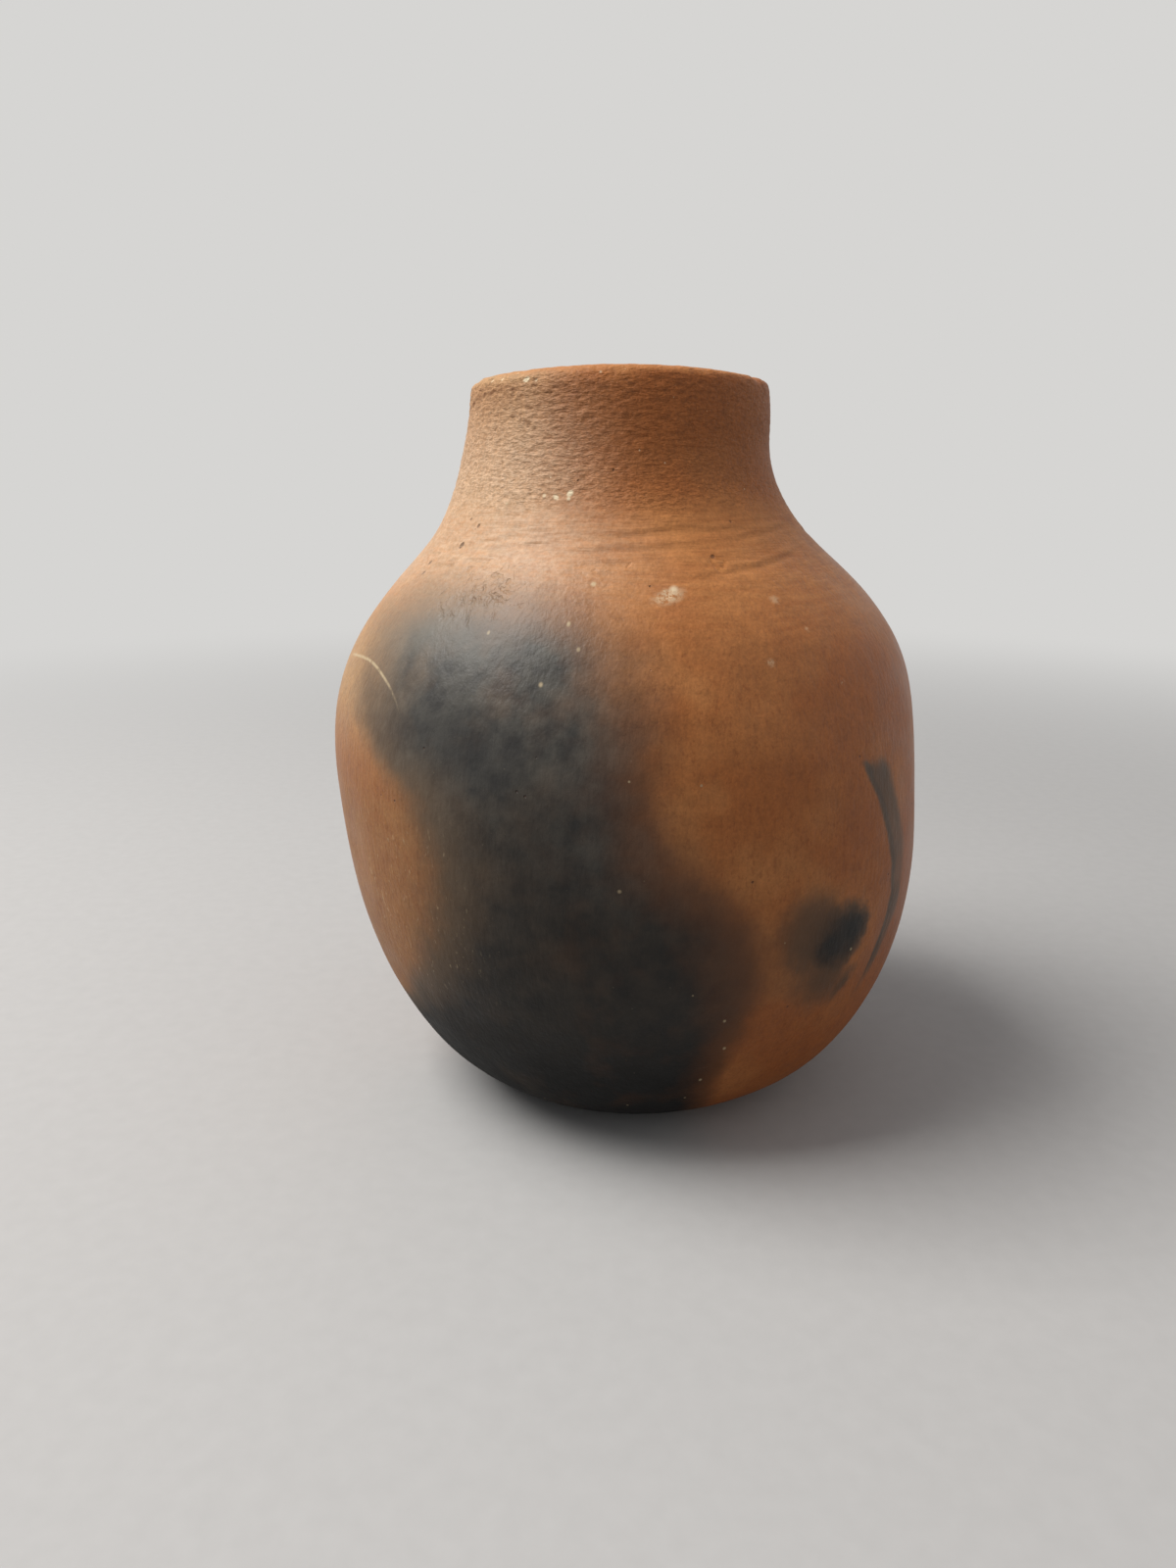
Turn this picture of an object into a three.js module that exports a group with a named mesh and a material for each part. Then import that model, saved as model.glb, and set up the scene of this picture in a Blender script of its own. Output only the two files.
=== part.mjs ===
import * as THREE from 'three';

// Clay olla: a hand-built pot with a round body, a short open neck and no handles or lid.
// It is made as a potter builds it: a moulded base bowl, then wall courses luted on with
// bevelled lap seams, a drawn-in neck and a rounded lip coil.
// Sizes are millimetres and +Z is up. The pot rests on Z = 0 with its box centred on the origin.

// Height that each course adds to the one below it
const BASE_RISE = 30;
const LOWER_RISE = 36;
const BELLY_RISE = 26;
const SHOULDER_RISE = 24;
const COLLAR_RISE = 24;
const LIP_RISE = 6.6;

// Outer radius of the flat foot, of the body at its widest and of the top of the neck
const FOOT_RADIUS = 24;
const GIRTH_RADIUS = 62.4;
const NECK_RADIUS = 31;

// How far the top edges of the base and belly courses lie inside the girth, how far the root of
// the neck spreads past its top, and how far the lip draws in from the neck
const BASE_TOP_INSET = 5.5;
const BELLY_TOP_INSET = 2.9;
const NECK_ROOT_SPREAD = 11;
const LIP_INSET = 0.5;

// Slope of the wall at the same places, in degrees: 0 runs level outwards, 90 is plumb
// and anything above 90 closes in towards the mouth
const FOOT_SLOPE = 3;
const BASE_TOP_SLOPE = 69.5;
const GIRTH_SLOPE = 89.5;
const BELLY_TOP_SLOPE = 108;
const NECK_ROOT_SLOPE = 137;
const COLLAR_TOP_SLOPE = 92.5;
const LIP_SLOPE = 91;

// Thickness of the wall and of the floor, and height that the lip's rounding adds to its coil
const WALL = 6;
const FLOOR_THICKNESS = 7.5;
const LIP_CROWN = 3.4;

// How full the lip's rounding is: 2 makes it a plain half-round, and more fills out its corners
const LIP_FULLNESS = 2.7;

// How far the inner edge of a luted seam is lapped up the wall past its outer edge
const SEAM_LAP = 3;

// Unevenness of a pot turned by hand: sideways drift of each course's top edge, the rate of
// that drift along the wall, the backward lean of the neck, how much shallower than wide the
// body is, and how far the lip rises at the front and back and dips at the sides
const FOOT_DRIFT = -0.7;
const BASE_TOP_DRIFT = 2.4;
const GIRTH_DRIFT = 0.3;
const BELLY_TOP_DRIFT = -0.1;
const NECK_ROOT_DRIFT = -0.6;
const COLLAR_TOP_DRIFT = -1.7;
const LIP_DRIFT = -1.5;
const FOOT_DRIFT_RATE = 0.3;
const BASE_TOP_DRIFT_RATE = -0.03;
const GIRTH_DRIFT_RATE = -0.09;
const BELLY_TOP_DRIFT_RATE = 0.05;
const NECK_ROOT_DRIFT_RATE = -0.08;
const COLLAR_TOP_DRIFT_RATE = 0.17;
const BACK_LEAN = 1.2;
const OUT_OF_ROUND = 1;
const LIP_WAVE = 0.6;

// Facets round the pot, and steps along the section of each course, the floor and the rounding
const SEGMENTS = 64;
const BASE_STEPS = 9;
const FLOOR_STEPS = 7;
const WALL_STEPS = 4;
const COLLAR_STEPS = 7;
const LIP_STEPS = 2;
const CROWN_STEPS = 8;

// Turn, in radians, below which a curve between two edges is taken as straight
const NEARLY_STRAIGHT = 0.001;

const BURNISHED_BROWN = 0xa46a45;
const SMOKED_BROWN = 0x6b4a36;
const WIPED_TAN = 0xb08363;

// A place on the wall's section: its sideways drift, its radius and its height
function place(drift, radius, height) {
  return new THREE.Vector3(drift, radius, height);
}

// Direction of the wall's section at a slope, with the drift that goes with it
function heading(slopeDegrees, driftRate) {
  const slope = THREE.MathUtils.degToRad(slopeDegrees);
  return new THREE.Vector3(driftRate, Math.cos(slope), Math.sin(slope));
}

// Edge of a course: where it is and which way the wall runs there
function courseEdge(drift, radius, height, slopeDegrees, driftRate) {
  return { at: place(drift, radius, height), slopeDegrees, run: heading(slopeDegrees, driftRate) };
}

// Length of the handles that make a cubic curve bend as evenly as a circle's arc
function handleLength(from, to) {
  const chord = Math.hypot(to.at.y - from.at.y, to.at.z - from.at.z);
  const turn = THREE.MathUtils.degToRad(Math.abs(to.slopeDegrees - from.slopeDegrees));
  if (turn < NEARLY_STRAIGHT) {
    return chord / 3;
  }
  return (chord * (4 / 3) * Math.tan(turn / 4)) / (2 * Math.sin(turn / 2));
}

// Curve of the wall from one course edge to the next
function wallCurve(from, to) {
  const handle = handleLength(from, to);
  const leaving = from.at.clone().addScaledVector(from.run, handle);
  const arriving = to.at.clone().addScaledVector(to.run, -handle);
  return new THREE.CubicBezierCurve3(from.at, leaving, arriving, to.at);
}

const baseTop = BASE_RISE;
const girth = baseTop + LOWER_RISE;
const bellyTop = girth + BELLY_RISE;
const neckRoot = bellyTop + SHOULDER_RISE;
const collarTop = neckRoot + COLLAR_RISE;
const coilTop = collarTop + LIP_RISE;
const lipTop = coilTop + LIP_CROWN;

const baseTopRadius = GIRTH_RADIUS - BASE_TOP_INSET;
const bellyTopRadius = GIRTH_RADIUS - BELLY_TOP_INSET;
const neckRootRadius = NECK_RADIUS + NECK_ROOT_SPREAD;
const lipRadius = NECK_RADIUS - LIP_INSET;

const edges = [
  courseEdge(FOOT_DRIFT, FOOT_RADIUS, 0, FOOT_SLOPE, FOOT_DRIFT_RATE),
  courseEdge(BASE_TOP_DRIFT, baseTopRadius, baseTop, BASE_TOP_SLOPE, BASE_TOP_DRIFT_RATE),
  courseEdge(GIRTH_DRIFT, GIRTH_RADIUS, girth, GIRTH_SLOPE, GIRTH_DRIFT_RATE),
  courseEdge(BELLY_TOP_DRIFT, bellyTopRadius, bellyTop, BELLY_TOP_SLOPE, BELLY_TOP_DRIFT_RATE),
  courseEdge(NECK_ROOT_DRIFT, neckRootRadius, neckRoot, NECK_ROOT_SLOPE, NECK_ROOT_DRIFT_RATE),
  courseEdge(COLLAR_TOP_DRIFT, NECK_RADIUS, collarTop, COLLAR_TOP_SLOPE, COLLAR_TOP_DRIFT_RATE),
  courseEdge(LIP_DRIFT, lipRadius, coilTop, LIP_SLOPE, 0),
];

// The whole outer wall line from the foot to the start of the lip's rounding
const wallLine = new THREE.CurvePath();
for (let i = 1; i < edges.length; i += 1) {
  wallLine.add(wallCurve(edges[i - 1], edges[i]));
}
const seamLengths = [0, ...wallLine.getCurveLengths()];
const wallLength = wallLine.getLength();

// Place on the outer skin at a length along the wall line
function outerPlace(length) {
  return wallLine.getPoint(Math.min(length / wallLength, 1));
}

// Unit direction of the section at a length along the wall line
function sectionRun(length) {
  const run = wallLine.getTangent(Math.min(length / wallLength, 1));
  run.x = 0;
  return run.normalize();
}

// Place on the inner skin, one wall thickness square in from the outer skin
function innerPlace(length) {
  const outer = outerPlace(length);
  const run = sectionRun(length);
  return place(outer.x, outer.y - WALL * run.z, outer.z + WALL * run.y);
}

// Places at even steps between two lengths along the wall line
function placesBetween(skin, fromLength, toLength, steps) {
  const places = [];
  for (let i = 0; i <= steps; i += 1) {
    places.push(skin(THREE.MathUtils.lerp(fromLength, toLength, i / steps)));
  }
  return places;
}

// The floor inside the base bowl, from its lowest point out to the inner edge of the seam
function floorPlaces() {
  const seamLength = seamLengths[1] + SEAM_LAP;
  const seam = innerPlace(seamLength);
  const seamRun = sectionRun(seamLength);
  const seamSlope = THREE.MathUtils.radToDeg(Math.atan2(seamRun.z, seamRun.y));
  const low = { at: place(seam.x, 0, FLOOR_THICKNESS), slopeDegrees: 0, run: heading(0, 0) };
  const high = { at: seam, slopeDegrees: seamSlope, run: heading(seamSlope, 0) };
  return wallCurve(low, high).getSpacedPoints(FLOOR_STEPS);
}

// The rounded top of the lip, from the outer skin over to the inner skin
function crownPlaces() {
  const outer = outerPlace(wallLength);
  const inner = innerPlace(wallLength);
  const run = sectionRun(wallLength);
  const middle = outer.clone().add(inner).multiplyScalar(0.5);
  const half = outer.clone().sub(middle);
  const places = [];
  for (let i = 1; i < CROWN_STEPS; i += 1) {
    const angle = (Math.PI * i) / CROWN_STEPS;
    const across = Math.sign(Math.cos(angle)) * Math.abs(Math.cos(angle)) ** (2 / LIP_FULLNESS);
    const up = Math.sin(angle) ** (2 / LIP_FULLNESS);
    const spot = middle.clone().addScaledVector(half, across);
    places.push(spot.addScaledVector(run, LIP_CROWN * up));
  }
  return places;
}

// How much of the lip's unevenness is felt at a height: none below the collar, all at the top
function lipShare(height) {
  return THREE.MathUtils.clamp((height - collarTop) / (lipTop - collarTop), 0, 1);
}

// One point of the pot at a place on the section and an angle round the axis
function potPoint(spot, angle) {
  const depthLoss = (OUT_OF_ROUND / GIRTH_RADIUS) * Math.sin(angle) ** 2;
  const radius = spot.y * (1 - depthLoss);
  const lean = BACK_LEAN * (spot.z / lipTop) ** 2;
  const wave = LIP_WAVE * lipShare(spot.z) * -Math.cos(2 * angle);
  return [spot.x + radius * Math.cos(angle), lean + radius * Math.sin(angle), spot.z + wave];
}

// Corner numbers of the ring that a place sweeps; a place on the axis gives one corner
function addRing(corners, spot) {
  if (spot.y === 0) {
    corners.push(...potPoint(spot, 0));
    return Array(SEGMENTS).fill(corners.length / 3 - 1);
  }
  const ring = [];
  for (let i = 0; i < SEGMENTS; i += 1) {
    corners.push(...potPoint(spot, (2 * Math.PI * i) / SEGMENTS));
    ring.push(corners.length / 3 - 1);
  }
  return ring;
}

// Band of triangles between two rings. A seam is split the same way by both of its courses.
function addBand(faces, first, second, splitFromFirst) {
  for (let i = 0; i < SEGMENTS; i += 1) {
    const j = (i + 1) % SEGMENTS;
    const halves = splitFromFirst
      ? [[first[i], first[j], second[j]], [first[i], second[j], second[i]]]
      : [[first[i], first[j], second[i]], [first[j], second[j], second[i]]];
    for (const [a, b, c] of halves) {
      if (a !== b && b !== c && c !== a) {
        faces.push(a, b, c);
      }
    }
  }
}

// Closed solid swept round the axis from its section, listed up the outer skin and down the inner
function sweep(section, closesOnItself) {
  const corners = [];
  const faces = [];
  const rings = section.map((spot) => addRing(corners, spot));
  for (let i = 1; i < rings.length; i += 1) {
    addBand(faces, rings[i - 1], rings[i], true);
  }
  if (closesOnItself) {
    addBand(faces, rings[rings.length - 1], rings[0], false);
  }
  const geometry = new THREE.BufferGeometry();
  geometry.setAttribute('position', new THREE.Float32BufferAttribute(corners, 3));
  geometry.setIndex(faces);
  geometry.computeVertexNormals();
  return geometry;
}

// Moulded base bowl with its flat foot
function baseBowl() {
  const foot = place(FOOT_DRIFT, 0, 0);
  const outside = placesBetween(outerPlace, 0, seamLengths[1], BASE_STEPS);
  const inside = floorPlaces().reverse();
  return sweep([foot, ...outside, ...inside], false);
}

// Wall course between two luted seams
function wallCourse(index, steps) {
  const from = seamLengths[index];
  const to = seamLengths[index + 1];
  const outside = placesBetween(outerPlace, from, to, steps);
  const inside = placesBetween(innerPlace, from + SEAM_LAP, to + SEAM_LAP, steps).reverse();
  return sweep([...outside, ...inside], true);
}

// Last coil, rounded over at the mouth
function lipCoil() {
  const from = seamLengths[edges.length - 2];
  const outside = placesBetween(outerPlace, from, wallLength, LIP_STEPS);
  const inside = placesBetween(innerPlace, from + SEAM_LAP, wallLength, LIP_STEPS).reverse();
  return sweep([...outside, ...crownPlaces(), ...inside], true);
}

// Clay darkened by smoke and polished with a stone
function smokedClay() {
  return new THREE.MeshStandardMaterial({ color: SMOKED_BROWN, roughness: 0.42, metalness: 0 });
}

// Clay polished with a stone to a low shine
function burnishedClay() {
  return new THREE.MeshStandardMaterial({ color: BURNISHED_BROWN, roughness: 0.42, metalness: 0 });
}

// Clay wiped with wet fingers and left unpolished
function wipedClay() {
  return new THREE.MeshStandardMaterial({ color: WIPED_TAN, roughness: 0.75, metalness: 0 });
}

function named(name, geometry, material) {
  const mesh = new THREE.Mesh(geometry, material);
  mesh.name = name;
  return mesh;
}

// Moves the pot sideways so that its box is centred over the origin
function centre(group) {
  const box = new THREE.Box3().setFromObject(group);
  const middle = box.getCenter(new THREE.Vector3());
  for (const mesh of group.children) {
    mesh.geometry.translate(-middle.x, -middle.y, 0);
  }
}

const olla = new THREE.Group();
olla.name = 'clay_olla';
olla.add(named('base_bowl', baseBowl(), smokedClay()));
olla.add(named('lower_wall', wallCourse(1, WALL_STEPS), burnishedClay()));
olla.add(named('belly_wall', wallCourse(2, WALL_STEPS), burnishedClay()));
olla.add(named('shoulder_wall', wallCourse(3, WALL_STEPS), burnishedClay()));
olla.add(named('neck_collar', wallCourse(4, COLLAR_STEPS), wipedClay()));
olla.add(named('lip_coil', lipCoil(), wipedClay()));
centre(olla);

export default olla;
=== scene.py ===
"""Looks of the clay olla: six courses of hand-built clay, burnished, wiped and smoked."""

from __future__ import annotations

import logging
import math
from collections.abc import Iterator, Sequence
from contextlib import contextmanager
from dataclasses import dataclass
from enum import Enum
from typing import Any

import bpy
import numpy as np
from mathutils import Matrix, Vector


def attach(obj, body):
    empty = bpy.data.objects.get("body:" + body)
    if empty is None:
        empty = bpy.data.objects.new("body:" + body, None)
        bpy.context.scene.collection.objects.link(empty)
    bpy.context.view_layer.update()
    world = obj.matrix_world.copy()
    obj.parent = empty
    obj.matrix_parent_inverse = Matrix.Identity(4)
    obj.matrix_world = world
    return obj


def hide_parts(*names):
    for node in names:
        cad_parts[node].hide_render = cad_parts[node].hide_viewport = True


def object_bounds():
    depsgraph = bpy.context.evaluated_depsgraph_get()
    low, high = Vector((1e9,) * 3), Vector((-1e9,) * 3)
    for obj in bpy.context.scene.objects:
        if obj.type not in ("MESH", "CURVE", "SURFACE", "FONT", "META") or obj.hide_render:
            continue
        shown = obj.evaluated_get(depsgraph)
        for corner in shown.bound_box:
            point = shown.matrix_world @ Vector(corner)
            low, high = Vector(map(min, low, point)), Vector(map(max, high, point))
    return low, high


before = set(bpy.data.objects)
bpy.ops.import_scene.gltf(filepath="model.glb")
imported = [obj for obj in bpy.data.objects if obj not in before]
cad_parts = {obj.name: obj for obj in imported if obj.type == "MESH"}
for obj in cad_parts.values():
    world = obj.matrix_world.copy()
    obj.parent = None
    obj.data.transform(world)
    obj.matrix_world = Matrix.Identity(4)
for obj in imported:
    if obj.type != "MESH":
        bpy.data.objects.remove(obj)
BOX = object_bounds()

LOG = logging.getLogger("olla")
MM = 0.001
ARC = 1.047  # millimetres of girth to a degree
NECK_ARC = 0.6  # millimetres round the neck to a degree
NECK_FOOT = 110  # millimetres up to where the neck starts
MIDDLE = 0.075  # metres up to the middle of the pot
LIP_TURN = (0.1, 0.5)  # how far normals point outwards where the outer skin starts and is full


class Course(Enum):
    """The courses of clay, in the order they were built."""

    BASE = "base_bowl"
    LOWER = "lower_wall"
    BELLY = "belly_wall"
    SHOULDER = "shoulder_wall"
    COLLAR = "neck_collar"
    LIP = "lip_coil"


class Finish(Enum):
    """The material slots of the record."""

    SMOKED = "smoked_clay"
    BURNISHED = "burnished_clay"
    WIPED = "wiped_clay"


FINISH_OF = {
    Course.BASE: Finish.SMOKED,
    Course.LOWER: Finish.BURNISHED,
    Course.BELLY: Finish.BURNISHED,
    Course.SHOULDER: Finish.BURNISHED,
    Course.COLLAR: Finish.WIPED,
    Course.LIP: Finish.WIPED,
}


def paint(red: int, green: int, blue: int) -> tuple[float, float, float, float]:
    """Turns a colour as the eye reads it into the linear one that a shader takes.

    Args:
        red: Red, 0 to 255.
        green: Green, 0 to 255.
        blue: Blue, 0 to 255.

    Returns:
        The linear colour with full alpha.
    """
    linear = []
    for part in (red, green, blue):
        share = part / 255
        linear.append(share / 12.92 if share <= 0.04045 else ((share + 0.055) / 1.055) ** 2.4)
    return (linear[0], linear[1], linear[2], 1.0)


def pick_only(thing: bpy.types.Object) -> None:
    """Selects one object alone and makes it the active one.

    Args:
        thing: The object.
    """
    bpy.ops.object.select_all(action="DESELECT")
    thing.select_set(True)
    bpy.context.view_layer.objects.active = thing


@contextmanager
def editing() -> Iterator[None]:
    """Edit mode, for the calls made under it."""
    bpy.ops.object.mode_set(mode="EDIT")
    yield
    bpy.ops.object.mode_set(mode="OBJECT")


def read_field(items: Any, field: str, width: int = 1, kind: type = float) -> np.ndarray:
    """Reads one field of all the items of a mesh.

    Args:
        items: Its vertices, edges, faces, corners or an attribute's data.
        field: The field.
        width: How many numbers it has for each item.
        kind: Their type.

    Returns:
        The numbers, a row for each item where it has several.
    """
    held = np.zeros(len(items) * width, kind)
    items.foreach_get(field, held)
    return held.reshape(-1, width) if width > 1 else held


def smooth_step(low: float, high: float, values: np.ndarray) -> np.ndarray:
    """Rises softly from 0 at low to 1 at high, or the other way where high is the lower one."""
    share = np.clip((values - low) / (high - low), 0, 1)
    return share * share * (3 - 2 * share)


@dataclass
class Skin:
    """The vertices of a mesh, with their normals and their places on the pot."""

    mesh: bpy.types.Mesh

    def __post_init__(self) -> None:
        """Reads the mesh."""
        self.places = read_field(self.mesh.vertices, "co", 3)
        self.normals = read_field(self.mesh.vertex_normals, "vector", 3)

    @property
    def azimuth(self) -> np.ndarray:
        """Degrees round the pot from the front, growing to the right."""
        return np.degrees(np.arctan2(self.places[:, 0], -self.places[:, 1]))

    @property
    def height(self) -> np.ndarray:
        """Millimetres above the floor."""
        return self.places[:, 2] / MM

    @property
    def radius(self) -> np.ndarray:
        """Millimetres from the pot's middle line."""
        return np.hypot(self.places[:, 0], self.places[:, 1]) / MM

    def outside(self) -> np.ndarray:
        """Tells the outer skin from the inner one.

        Returns:
            1 on the outer skin and 0 on the inner one, turning softly over the lip.
        """
        away = self.places - np.array([0, 0, MIDDLE])
        away /= np.linalg.norm(away, axis=1)[:, None]
        return smooth_step(*LIP_TURN, (away * self.normals).sum(1))

    def sink(self, depth: np.ndarray) -> None:
        """Moves each vertex inwards along its normal.

        Args:
            depth: How far each one goes, in millimetres.
        """
        self.places -= self.normals * depth[:, None] * MM

    def write(self) -> None:
        """Puts the vertices back in the mesh."""
        self.mesh.vertices.foreach_set("co", self.places.ravel())
        self.mesh.update()


@dataclass(frozen=True)
class Dent:
    """A mark pressed or knocked into the skin, in degrees round the pot and millimetres."""

    azimuth: float
    height: float
    half_width: float
    half_height: float
    depth: float
    turn: float = 0.0

    def depths(self, skin: Skin) -> np.ndarray:
        """How deep the mark is at each vertex.

        Args:
            skin: The skin it is pressed into.

        Returns:
            Depths in millimetres.
        """
        round_it = (skin.azimuth - self.azimuth + 180) % 360 - 180
        across = np.radians(round_it) * skin.radius
        up = skin.height - self.height
        angle = math.radians(self.turn)
        along = (across * math.cos(angle) + up * math.sin(angle)) / self.half_width
        beside = (up * math.cos(angle) - across * math.sin(angle)) / self.half_height
        near = np.clip(1 - along * along - beside * beside, 0, 1)
        return self.depth * near * near


@dataclass(frozen=True)
class Groove:
    """A line drawn round the pot by a wet finger, with a low burr on its upper side."""

    start: tuple[float, float]
    end: tuple[float, float]
    half_width: float
    depth: float
    bow: float = 0.0

    def depths(self, skin: Skin) -> np.ndarray:
        """How deep the line is at each vertex.

        Args:
            skin: The skin it is drawn in.

        Returns:
            Depths in millimetres, below 0 on the burr.
        """
        share = (skin.azimuth - self.start[0]) / (self.end[0] - self.start[0])
        line = self.start[1] + (self.end[1] - self.start[1]) * share
        line = line + self.bow * 4 * share * (1 - share)
        ends = smooth_step(0, 0.25, share) * smooth_step(1, 0.7, share)
        off = (skin.height - line) / self.half_width
        return self.depth * ends * (np.exp(-off * off) - 0.45 * np.exp(-((off - 1.7) ** 2)))


@dataclass
class ClayBody:
    """The pot's skin, refined and marked in one, so that no joint shows, and parted again.

    Sizes are in millimetres and angles in degrees. A band holds the height where a weight is 0
    and the one where it is full.
    """

    levels: int = 3
    weld: float = 0.002
    quad_turn: float = 50.0
    quad_skew: float = 60.0
    joint_heights: tuple[float, ...] = (30, 66, 92, 116, 140)
    lap_middle: float = 1.5
    lap_reach: float = 5.0
    ring_span: tuple[float, float] = (29, 117)
    ring_turn: float = 2.0
    ring_rise: float = 2.0
    foot_band: tuple[float, float] = (1, 8)
    neck_band: tuple[float, float] = (113, 122)
    drag_band: tuple[float, float] = (118.5, 127)
    drag_end: tuple[float, float] = (150, 146)
    rim_band: tuple[float, float] = (145.5, 148.5)
    crumple_place: tuple[float, float] = (-38, 111.5)
    crumple_reach: tuple[float, float] = (17, 5)
    crumple_least: float = 0.12
    front_azimuth: float = -40
    front_reach: float = 55
    front_least: float = 0.45
    inner_share: float = 0.35
    guide_place: tuple[float, float, float] = (13, 7, 5)
    uneven_size: float = 34.0
    uneven_depth: float = 0.7
    rub_size: tuple[float, float, float] = (7.0, 7.0, 12.0)
    rub_depth: float = 0.13
    drag_size: tuple[float, float, float] = (1.5, 1.5, 0.62)
    drag_depth: float = 0.62
    wrinkle_size: tuple[float, float, float] = (1.8, 1.8, 2.3)
    wrinkle_depth: float = 0.3
    rim_size: tuple[float, float, float] = (2.6, 2.6, 1.8)
    rim_depth: float = 0.42
    grooves: tuple[Groove, ...] = (
        Groove((-20, 119.9), (44, 121.7), 0.5, 0.21, 0.3),
        Groove((4, 121.5), (30, 122.7), 0.45, 0.17),
        Groove((-26, 117.2), (28, 118.9), 0.6, 0.17, 0.2),
        Groove((-17, 115.7), (2, 116.1), 0.4, 0.2),
        Groove((14, 113.8), (58, 117.8), 0.45, 0.24, -0.4),
        Groove((24, 119.4), (66, 122.4), 0.5, 0.17, -0.2),
        Groove((-8, 112.9), (32, 113.5), 0.7, 0.07),
        Groove((-74, 114.6), (-26, 120.9), 0.5, 0.18, 0.4),
        Groove((-64, 113.2), (-28, 117.0), 0.5, 0.18, 0.3),
        Groove((-54, 117.0), (-18, 119.5), 0.45, 0.15),
        Groove((-90, 141.6), (-46, 146.4), 0.7, 0.09, 0.8),
        Groove((70, 119.6), (150, 118.4), 0.6, 0.12, 0.9),
        Groove((96, 115.2), (170, 117.6), 0.5, 0.14, -0.4),
        Groove((120, 121.5), (177, 121.0), 0.5, 0.1, 0.4),
        Groove((-150, 117.8), (-84, 120.2), 0.6, 0.13, 0.4),
        Groove((-172, 115.6), (-104, 113.9), 0.6, 0.1, 0.5),
    )
    dents: tuple[Dent, ...] = (
        Dent(-53.3, 118.2, 0.75, 0.5, 0.5, 20),
        Dent(-52.7, 114.7, 0.8, 0.55, 0.5, 30),
        Dent(-52.0, 110.7, 0.5, 0.35, 0.3),
        Dent(12.8, 127.2, 0.5, 0.4, 0.35),
        Dent(21.9, 116.8, 0.75, 0.45, 0.5, -20),
        Dent(20.6, 115.6, 1.9, 0.45, 0.52, -66),
        Dent(22.9, 115.6, 2.3, 0.4, 0.42, 42),
        Dent(-40.5, 148.0, 1.3, 0.8, 0.2, 8),
        Dent(-36.3, 147.9, 0.5, 0.4, 0.25),
        Dent(-59.3, 148.5, 0.8, 0.5, 0.3),
        Dent(-52.9, 148.6, 0.6, 0.4, 0.25),
        Dent(-80.0, 149.8, 5.5, 2.2, 0.5),
        Dent(62.0, 149.0, 3.0, 1.6, 0.3),
        Dent(128.0, 149.2, 4.5, 1.8, 0.35),
        Dent(-132.0, 148.8, 3.5, 1.5, 0.3),
        Dent(-30.0, 84.0, 13.0, 10.0, 0.3, 20),
        Dent(6.0, 100.0, 12.0, 9.0, 0.25, -10),
        Dent(38.0, 88.0, 11.0, 14.0, 0.3, 10),
        Dent(-62.0, 60.0, 9.0, 15.0, 0.35, -10),
        Dent(55.0, 40.0, 10.0, 9.0, 0.3),
        Dent(112.0, 70.0, 14.0, 11.0, 0.35),
        Dent(168.0, 92.0, 13.0, 10.0, 0.3),
        Dent(-122.0, 82.0, 12.0, 13.0, 0.35),
        Dent(-160.0, 44.0, 12.0, 9.0, 0.3),
    )

    def copy_courses(self) -> bpy.types.Object:
        """Copies the courses, each with a marker to part it by, joins them and welds them.

        Returns:
            The joined body, closed over its joints.
        """
        bpy.ops.object.select_all(action="DESELECT")
        copies = []
        for course in Course:
            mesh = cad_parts[course.value].data.copy()
            mesh.materials.clear()
            marker = bpy.data.materials.new(course.value + "_part")
            mesh.materials.append(marker)
            mesh.polygons.foreach_set("material_index", [0] * len(mesh.polygons))
            while mesh.uv_layers:
                mesh.uv_layers.remove(mesh.uv_layers[0])
            copy = bpy.data.objects.new("course_" + course.value, mesh)
            bpy.context.scene.collection.objects.link(copy)
            copy.select_set(True)
            copies.append(copy)
        bpy.context.view_layer.objects.active = copies[0]
        bpy.ops.object.join()
        body = copies[0]
        bpy.ops.mesh.customdata_custom_splitnormals_clear()
        with editing():
            bpy.ops.mesh.select_mode(type="VERT")
            bpy.ops.mesh.select_all(action="SELECT")
            bpy.ops.mesh.remove_doubles(threshold=self.weld * MM)
            bpy.ops.mesh.select_all(action="DESELECT")
            bpy.ops.mesh.select_non_manifold(
                extend=False, use_wire=False, use_boundary=False, use_multi_face=True,
                use_non_contiguous=False, use_verts=False,
            )
            bpy.ops.mesh.select_mode(type="FACE")
            bpy.ops.mesh.delete(type="FACE")
            bpy.ops.mesh.select_all(action="SELECT")
            bpy.ops.mesh.tris_convert_to_quads(
                face_threshold=math.radians(self.quad_turn),
                shape_threshold=math.radians(self.quad_skew),
            )
            bpy.ops.mesh.normals_make_consistent(inside=False)
        return body

    def add_rings(self, body: bpy.types.Object) -> None:
        """Adds a ring in the middle of each band of the outer walls, set out on their curve.

        Args:
            body: The joined body.
        """
        skin = Skin(body.data)
        heights = skin.height
        azimuths = skin.azimuth
        outer = skin.outside() > 0.5
        walls = outer & (heights > self.ring_span[0]) & (heights < self.ring_span[1])
        with editing():
            bpy.ops.mesh.select_all(action="DESELECT")
            bpy.ops.mesh.select_mode(type="EDGE")
        for edge in body.data.edges:
            low, high = edge.vertices
            turn = abs((azimuths[low] - azimuths[high] + 180) % 360 - 180)
            upright = turn < self.ring_turn and abs(heights[low] - heights[high]) > self.ring_rise
            if walls[low] and walls[high] and upright:
                edge.select = True
        with editing():
            bpy.ops.mesh.subdivide(number_cuts=1, smoothness=1.0)
            bpy.ops.mesh.select_all(action="DESELECT")

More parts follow.
